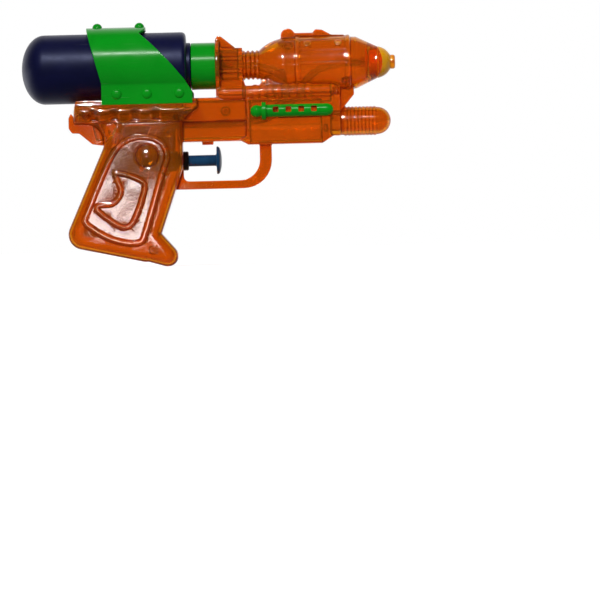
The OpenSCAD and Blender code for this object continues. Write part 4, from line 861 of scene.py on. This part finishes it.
class SQUIRTER_OT_plunger(bpy.types.Operator):
    """Turns the blue plunger with its finger plate, and the black gland that it runs through"""

    bl_idname = "squirter.plunger"
    bl_label = "Plunger and gland"

    def execute(self, context):
        plate_r = (PLUNGER_HIGH.z - PLUNGER_LOW.z) / 2
        stem_r, tail_r = 3.3 * MM, 1.8 * MM
        plate_x = PLUNGER_HIGH.x - 2.7 * MM
        piston_x = PLUNGER_LOW.x + 4.0 * MM
        a = np.linspace(0, np.pi / 2, 14)
        crown = np.stack([
            plate_x + 0.6 * MM + 2.1 * MM * np.sin(a), (plate_r - 0.25 * MM) * np.cos(a)], axis=1)
        back = filleted([
            (PLUNGER_LOW.x, 0, 0), (PLUNGER_LOW.x, tail_r, 0.2 * MM), (piston_x, tail_r, 0),
            (piston_x, stem_r, 0.2 * MM), (plate_x - 0.7 * MM, stem_r, 0.9 * MM),
            (plate_x - 0.2 * MM, 0.62 * plate_r, 0.5 * MM),
            (plate_x - 0.35 * MM, plate_r - 0.4 * MM, 0.3 * MM),
            (plate_x + 0.1 * MM, plate_r, 0.3 * MM), (plate_x + 0.6 * MM, plate_r - 0.25 * MM, 0)], 6)
        outline = np.concatenate([back, crown[1:]])
        turned("trigger_plunger", outline, PUMP_Z, 112, "plunger", "blue_plunger", "trigger", False)

        gland_r, bore_r, in_r = (GLAND_HIGH.z - GLAND_LOW.z) / 2, 4.95 * MM, 3.4 * MM
        seat_x = GLAND_HIGH.x - 2.95 * MM
        corners = [
            (GLAND_LOW.x, in_r, 0.1 * MM), (GLAND_LOW.x, bore_r, 0.2 * MM), (seat_x, bore_r, 0),
            (seat_x, gland_r, 0.25 * MM), (seat_x + 1.1 * MM, gland_r, 0.1 * MM),
            (seat_x + 1.25 * MM, gland_r - 0.3 * MM, 0.1 * MM), (seat_x + 1.4 * MM, gland_r, 0.1 * MM),
            (GLAND_HIGH.x - 0.6 * MM, gland_r, 0.3 * MM), (GLAND_HIGH.x, gland_r - 0.6 * MM, 0.3 * MM),
            (GLAND_HIGH.x, in_r, 0.15 * MM)]
        outline = filleted(corners, ring=True)
        turned("gland_nut_turned", outline, PUMP_Z, 112, "housing", "black_plastic", "gland_nut")
        return {"FINISHED"}


class SQUIRTER_OT_hoses(bpy.types.Operator):
    """Lays the two clear hoses, from the tank to the pump and from the pump to the nozzle"""

    bl_idname = "squirter.hoses"
    bl_label = "Hoses"

    def execute(self, context):
        sizes = context.scene.squirter_sizes
        # the routes of the solids, in mm from the stations that the hoses join
        spigot_x, bulb_x, block_x, grip_x, flange_x = 9.0, 30.6, 22.2, -16.2, 4.2
        barrel_x, tip_x, valve_x = 44.4, 90.4, -54.8
        barrel, grip, pump = BARREL_Z / MM, 86.4, PUMP_Z / MM
        inlet_z = pump - 11.05
        outlet_z = pump + 11.05
        suction = [
            (spigot_x, 0, barrel), (spigot_x + 4, 0, barrel), (spigot_x + 8, 0, barrel),
            (bulb_x - 3.6, -0.4, barrel - 0.2), (bulb_x + 6.4, -1.8, barrel - 2.8),
            (bulb_x + 13, -3.4, barrel - 10), (bulb_x + 13, -4, barrel - 21),
            (block_x + 15, -4, grip + 4), (block_x + 2, -4, grip - 0.6),
            (flange_x + 4, -4, grip - 1.8), (grip_x + 8, -4, grip - 1.6), (grip_x - 4, -4, grip - 1),
            (grip_x - 13, -5.8, grip - 1.2), (grip_x - 18.6, -8.2, grip - 8), (grip_x - 18.4, -9, pump + 6),
            (grip_x - 18.2, -9, pump - 2.8), (grip_x - 20, -8.2, pump - 13.6),
            (grip_x - 24.8, -5.4, pump - 22.6), (grip_x - 31.4, -2.2, pump - 26.6),
            (valve_x + 1.8, -0.4, inlet_z - 13.6),
            (valve_x, 0, inlet_z - 8), (valve_x, 0, inlet_z - 4), (valve_x, 0, inlet_z)]
        delivery = [
            (valve_x, 0, outlet_z), (valve_x, 0, outlet_z + 3.2), (valve_x, 0, outlet_z + 6.4),
            (valve_x + 1.8, 0.8, grip - 0.4), (valve_x + 7.8, 2.6, grip + 2.2),
            (grip_x - 21.8, 4, grip + 1.4), (grip_x - 8.8, 4, grip - 0.8), (grip_x + 6.2, 4, grip - 1.6),
            (flange_x + 6, 4, grip - 1.8),
            (block_x + 3, 4, grip - 0.8), (block_x + 16, 4, grip + 3), (block_x + 26, 4, grip + 10),
            (barrel_x + 11, 3, barrel - 14), (barrel_x + 17.6, 1.5, barrel - 6),
            (tip_x - 19, 0.3, barrel - 1.4), (tip_x - 11, 0, barrel), (tip_x - 5.5, 0, barrel),
            (tip_x - 0.05, 0, barrel)]
        for name, route in (("suction_hose", suction), ("delivery_hose", delivery)):
            path = smooth_route(np.array(route) * MM, 10)
            surface = tube(path, sizes.hose_diameter / 2, (0, 1, 0), 28, sizes.hose_bore / 2)
            piece(f"{name}_tube", mesh_of(f"{name}_tube", *surface), "housing", "clear_hose", name)
        return {"FINISHED"}


class SQUIRTER_OT_spring(bpy.types.Operator):
    """Winds the return spring behind the piston"""

    bl_idname = "squirter.spring"
    bl_label = "Return spring"

    def execute(self, context):
        sizes = context.scene.squirter_sizes
        half = sizes.wire / 2
        coil_r = (SPRING_HIGH.z - SPRING_LOW.z) / 2 - half
        start, end = SPRING_LOW.x + half, SPRING_HIGH.x - half
        steps_a_turn = 32
        t = np.linspace(0, 1, sizes.spring_turns * steps_a_turn + 1)
        # the first and last half turn are flat, so that the ends lie against the piston and the plug
        flat = 0.08
        lead = np.clip((t - flat) / (1 - 2 * flat), 0, 1)
        a = 2 * np.pi * sizes.spring_turns * t
        path = np.stack([
            start + (end - start) * lead, coil_r * np.cos(a), PUMP_Z + coil_r * np.sin(a)], axis=1)
        mesh = mesh_of("return_spring_coil", *tube(path, half, (1, 0, 0), 14))
        made = piece("return_spring_coil", mesh, "housing", "spring_steel", "return_spring")
        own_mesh(made)
        return {"FINISHED"}


class SQUIRTER_OT_pump(bpy.types.Operator):
    """Gives the pump, the valves and the pieces in the neck their finishes"""

    bl_idname = "squirter.pump"
    bl_label = "Pump and valves"

    def execute(self, context):
        slots = {m["slot"] for m in frame["record"]["materials"]}
        finishes = {
            "inlet_spigot": "pale_plastic", "dip_tube": "pale_plastic", "pump_cylinder": "black_plastic",
            "valve_block": "black_plastic", "inlet_fitting": "pale_plastic", "outlet_fitting": "pale_plastic",
            "piston": "black_plastic", "piston_ring": "black_rubber", "block_seal": "black_rubber",
            "neck_gasket": "black_rubber", "inlet_ball": "spring_steel", "outlet_ball": "spring_steel"}
        for node, slot in finishes.items():
            if slot not in slots:
                raise RuntimeError(f"the record has no slot {slot}")
            solid = frame["nodes"][node]
            for place in solid.material_slots:
                place.material = finish_of(slot)
        return {"FINISHED"}


class SQUIRTER_OT_stage(bpy.types.Operator):
    """Sets the pale floor, the soft light and the camera"""

    bl_idname = "squirter.stage"
    bl_label = "Stage"

    def execute(self, context):
        scene = context.scene
        stage = scene.squirter_stage
        scene.view_settings.view_transform = "Standard"

        # the camera stands square to the right side, level with the grip's foot
        eye = Vector((AIM.x, -stage.distance, EYE_Z))
        camera = bpy.data.objects.new("camera", bpy.data.cameras.new("camera"))
        camera.data.sensor_width = 36.0
        camera.data.lens = camera.data.sensor_width * (AIM - eye).length / stage.frame_width
        turn = (AIM - eye).to_track_quat("-Z", "Y").to_matrix() @ Matrix.Rotation(-stage.roll, 3, "Z")
        camera.matrix_world = Matrix.Translation(eye) @ turn.to_4x4()
        scene.collection.objects.link(camera)
        scene.camera = camera

        corners = np.array([(-1, -1, 0), (1, -1, 0), (1, 1, 0), (-1, 1, 0)]) * FLOOR_HALF
        plane = bpy.data.meshes.new("floor")
        plane.from_pydata(corners.tolist(), [], [(0, 1, 2, 3)])
        floor = bpy.data.objects.new("floor", plane)
        scene.collection.objects.link(floor)
        plane.materials.append(white_floor())
        scene.world = white_world(stage.ambient)

        lamp = hung_lamp(scene, "main_light", "SUN", MAIN_PLACE, MAIN_AIM,
                         energy=stage.sun, angle=math.radians(16))
        lamp.visible_glossy = False

        # a long strip draws the highlights along the tank and the trim
        lamp = hung_lamp(scene, "strip_light", "AREA", STRIP_PLACE, STRIP_AIM,
                         shape="RECTANGLE", size=0.6, size_y=0.06, energy=3.4)
        lamp.visible_diffuse = False
        lamp.light_linking.receiver_collection = bpy.data.collections.new(STRIP_MIRRORS)

        # a small bare lamp gives the glossy ribs and rivets of the shells their glints, on the outermost
        # surface alone, so that it doesn't fill them with light
        card_mirrors = bpy.data.collections.new(CARD_MIRRORS)
        lamp = hung_lamp(scene, "glint_light", "POINT", GLINT_PLACE, GLINT_AIM,
                         shadow_soft_size=0.014, energy=700.0)
        lamp.data.cycles.max_bounces = 0
        lamp.visible_diffuse = False
        lamp.light_linking.receiver_collection = card_mirrors

        # a dark flag behind the grip, seen only through it, is painted shade that deepens its flat face,
        # while its round edges still gather white
        flag = stage_card(scene, "grip_flag", FLAG_CORNERS, FLAG_Y, "transmission")
        flag.data.materials.append(dark_flag())

        # a pale card beside the camera lies in the mirror of the flat grip face
        card = stage_card(scene, "grip_card", CARD_CORNERS, CARD_Y, "glossy")
        card.light_linking.receiver_collection = card_mirrors
        card.data.materials.append(white_card())
        return {"FINISHED"}


def white_floor():
    """Matt white paint: its own soft shade, with enough of its own white that it meets the background.

    In a mirror it dims towards the camera's side, so that the dark colours stay deep.
    """
    own_white, own_shade = 0.8, 0.42
    paint, tree = empty_material("matt_white_floor_paint")
    rays = add_node(tree, "ShaderNodeLightPath")
    place = add_node(tree, "ShaderNodeTexCoord")["Object"]
    depth = add_node(tree, "ShaderNodeSeparateXYZ", {0: place})["Y"]
    behind = add_node(tree, "ShaderNodeMapRange", {
        "Value": depth, "From Min": -0.04, "From Max": 0.3, "To Min": 0.04, "To Max": 1.0})[0]
    mirror = add_node(tree, "ShaderNodeMath", {
        0: rays["Is Glossy Ray"], 1: rays["Is Transmission Ray"]}, operation="SUBTRACT")[0]
    mirrored = add_node(tree, "ShaderNodeMath", {0: mirror, 1: behind}, operation="MULTIPLY")[0]
    seen = add_node(tree, "ShaderNodeMath", {
        0: rays["Is Camera Ray"], 1: rays["Is Transmission Ray"]}, operation="MAXIMUM")[0]
    seen = add_node(tree, "ShaderNodeMath", {0: seen, 1: mirrored}, operation="MAXIMUM")[0]
    level = add_node(tree, "ShaderNodeMath", {0: seen, 1: own_white}, operation="MULTIPLY")[0]
    glow = add_node(tree, "ShaderNodeEmission", {"Color": (1, 1, 1, 1), "Strength": level})[0]
    grey = add_node(tree, "ShaderNodeMix", {0: mirror, 2: 1.0, 3: behind})[0]
    grey = add_node(tree, "ShaderNodeMath", {0: grey, 1: own_shade}, operation="MULTIPLY")[0]
    matt = add_node(tree, "ShaderNodeBsdfDiffuse", {"Color": grey})[0]
    both = add_node(tree, "ShaderNodeAddShader", {0: matt, 1: glow})[0]
    add_node(tree, "ShaderNodeOutputMaterial", {"Surface": both})
    return paint


def white_world(ambient):
    """A white background, which the plastics let through, and mirror where they face it.

    Above and on the camera's side their mirrors are dim.
    """
    world = bpy.data.worlds.new("studio")
    world.use_nodes = True
    tree = world.node_tree
    tree.nodes.clear()
    facing = add_node(tree, "ShaderNodeTexCoord")["Generated"]
    depth = add_node(tree, "ShaderNodeSeparateXYZ", {0: facing})["Y"]
    mirrored = add_node(tree, "ShaderNodeMapRange", {
        "Value": depth, "From Min": 0.3, "From Max": 0.95, "To Min": 0.03, "To Max": 1.0})[0]
    through = add_node(tree, "ShaderNodeMapRange", {
        "Value": depth, "From Min": -0.2, "From Max": 0.8, "To Min": 0.04, "To Max": 1.0})[0]
    rays = add_node(tree, "ShaderNodeLightPath")
    strength = add_node(tree, "ShaderNodeMix", {
        0: rays["Is Glossy Ray"], 2: ambient, 3: mirrored})[0]
    strength = add_node(tree, "ShaderNodeMix", {
        0: rays["Is Transmission Ray"], 2: strength, 3: through})[0]
    strength = add_node(tree, "ShaderNodeMix", {0: rays["Is Camera Ray"], 2: strength, 3: 1.0})[0]
    sky = add_node(tree, "ShaderNodeBackground", {"Color": (1, 1, 1, 1), "Strength": strength})[0]
    add_node(tree, "ShaderNodeOutputWorld", {"Surface": sky})
    return world


def dark_flag():
    """Dim brown glow, seen only through the grip as painted shade, which falls off towards the top of the
    grip into deeper painted shade.
    """
    cloth, tree = empty_material("painted_shade_flag")
    place = add_node(tree, "ShaderNodeTexCoord")["Object"]
    height = add_node(tree, "ShaderNodeSeparateXYZ", {0: place})["Z"]
    level = add_node(tree, "ShaderNodeMapRange", {
        "Value": height, "From Min": 0.045, "From Max": 0.07, "To Min": 1.0, "To Max": 0.12})[0]
    glow = add_node(tree, "ShaderNodeEmission", {"Color": linear("#6a5648"), "Strength": level})[0]
    add_node(tree, "ShaderNodeOutputMaterial", {"Surface": glow})
    return cloth


def white_card():
    """White card with a light of its own: bright below, cloudy at its upper limit, and weaker at its foot."""
    cloud_scale, cloud_height = 28.0, 0.05
    card, tree = empty_material("white_card")
    place = add_node(tree, "ShaderNodeTexCoord")["Object"]
    height = add_node(tree, "ShaderNodeSeparateXYZ", {0: place})["Z"]
    foot = add_node(tree, "ShaderNodeMapRange", {
        "Value": height, "From Min": 0.004, "From Max": 0.026, "To Min": 0.3, "To Max": 1.0})[0]
    cloud = add_node(tree, "ShaderNodeTexNoise", {
        "Vector": place, "Scale": cloud_scale, "Detail": 2.0})[0]
    height = add_node(tree, "ShaderNodeMath", {
        0: cloud, 1: cloud_height, 2: height}, operation="MULTIPLY_ADD")[0]
    level = add_node(tree, "ShaderNodeMapRange", {
        "Value": height, "From Min": 0.06, "From Max": 0.11, "To Min": 16.5, "To Max": 0.5},
        interpolation_type="SMOOTHSTEP")[0]
    level = add_node(tree, "ShaderNodeMath", {0: level, 1: foot}, operation="MULTIPLY")[0]
    glow = add_node(tree, "ShaderNodeEmission", {"Strength": level})[0]
    add_node(tree, "ShaderNodeOutputMaterial", {"Surface": glow})
    return card


def stage_card(scene, name, corners, y, ray):
    """Upright card of the studio with corners (x, z) at the depth y, which only one kind of ray meets."""
    mesh = bpy.data.meshes.new(name)
    mesh.from_pydata([(x, y, z) for x, z in corners], [], [tuple(range(len(corners)))])
    made = bpy.data.objects.new(name, mesh)
    for kind in ("camera", "diffuse", "glossy", "transmission", "shadow", "volume_scatter"):
        setattr(made, f"visible_{kind}", kind == ray)
    scene.collection.objects.link(made)
    return made


def hung_lamp(scene, name, kind, place, target, **settings):
    """A lamp with its settings at a place, turned to a target and unseen by the camera itself."""
    light = bpy.data.lights.new(name, kind)
    for field, value in settings.items():
        setattr(light, field, value)
    lamp = bpy.data.objects.new(name, light)
    place = Vector(place)
    turn = (Vector(target) - place).to_track_quat("-Z", "Y").to_matrix()
    lamp.matrix_world = Matrix.Translation(place) @ turn.to_4x4()
    lamp.visible_camera = False
    scene.collection.objects.link(lamp)
    return lamp


OPERATORS = (
    SQUIRTER_OT_stage, SQUIRTER_OT_hoses, SQUIRTER_OT_shells, SQUIRTER_OT_tank, SQUIRTER_OT_collar,
    SQUIRTER_OT_saddle, SQUIRTER_OT_clips, SQUIRTER_OT_nozzle, SQUIRTER_OT_plunger, SQUIRTER_OT_spring,
    SQUIRTER_OT_pump)


class SQUIRTER_PT_panel(bpy.types.Panel):
    """Lists the pieces of the squirter and their sizes and colours"""

    bl_idname = "SQUIRTER_PT_panel"
    bl_label = "Water squirter"
    bl_space_type = "VIEW_3D"
    bl_region_type = "UI"
    bl_category = "Squirter"

    def draw(self, context):
        for operator in OPERATORS:
            self.layout.operator(operator.bl_idname)
        scene = context.scene
        for group in (scene.squirter_sizes, scene.squirter_colours, scene.squirter_stage):
            for field in group.__annotations__:
                self.layout.prop(group, field)


CLASSES = (SquirterSizes, SquirterColours, SquirterStage, *OPERATORS, SQUIRTER_PT_panel)


def register():
    for entry in CLASSES:
        bpy.utils.register_class(entry)
    bpy.types.Scene.squirter_sizes = bpy.props.PointerProperty(type=SquirterSizes)
    bpy.types.Scene.squirter_colours = bpy.props.PointerProperty(type=SquirterColours)
    bpy.types.Scene.squirter_stage = bpy.props.PointerProperty(type=SquirterStage)


def unregister():
    del bpy.types.Scene.squirter_stage
    del bpy.types.Scene.squirter_colours
    del bpy.types.Scene.squirter_sizes
    for entry in reversed(CLASSES):
        bpy.utils.unregister_class(entry)


def main():
    register()
    bpy.ops.squirter.stage()
    bpy.ops.squirter.hoses()
    bpy.ops.squirter.shells()
    bpy.ops.squirter.tank()
    bpy.ops.squirter.collar()
    bpy.ops.squirter.saddle()
    bpy.ops.squirter.clips()
    bpy.ops.squirter.nozzle()
    bpy.ops.squirter.plunger()
    bpy.ops.squirter.spring()
    bpy.ops.squirter.pump()


if __name__ == "__main__":
    main()
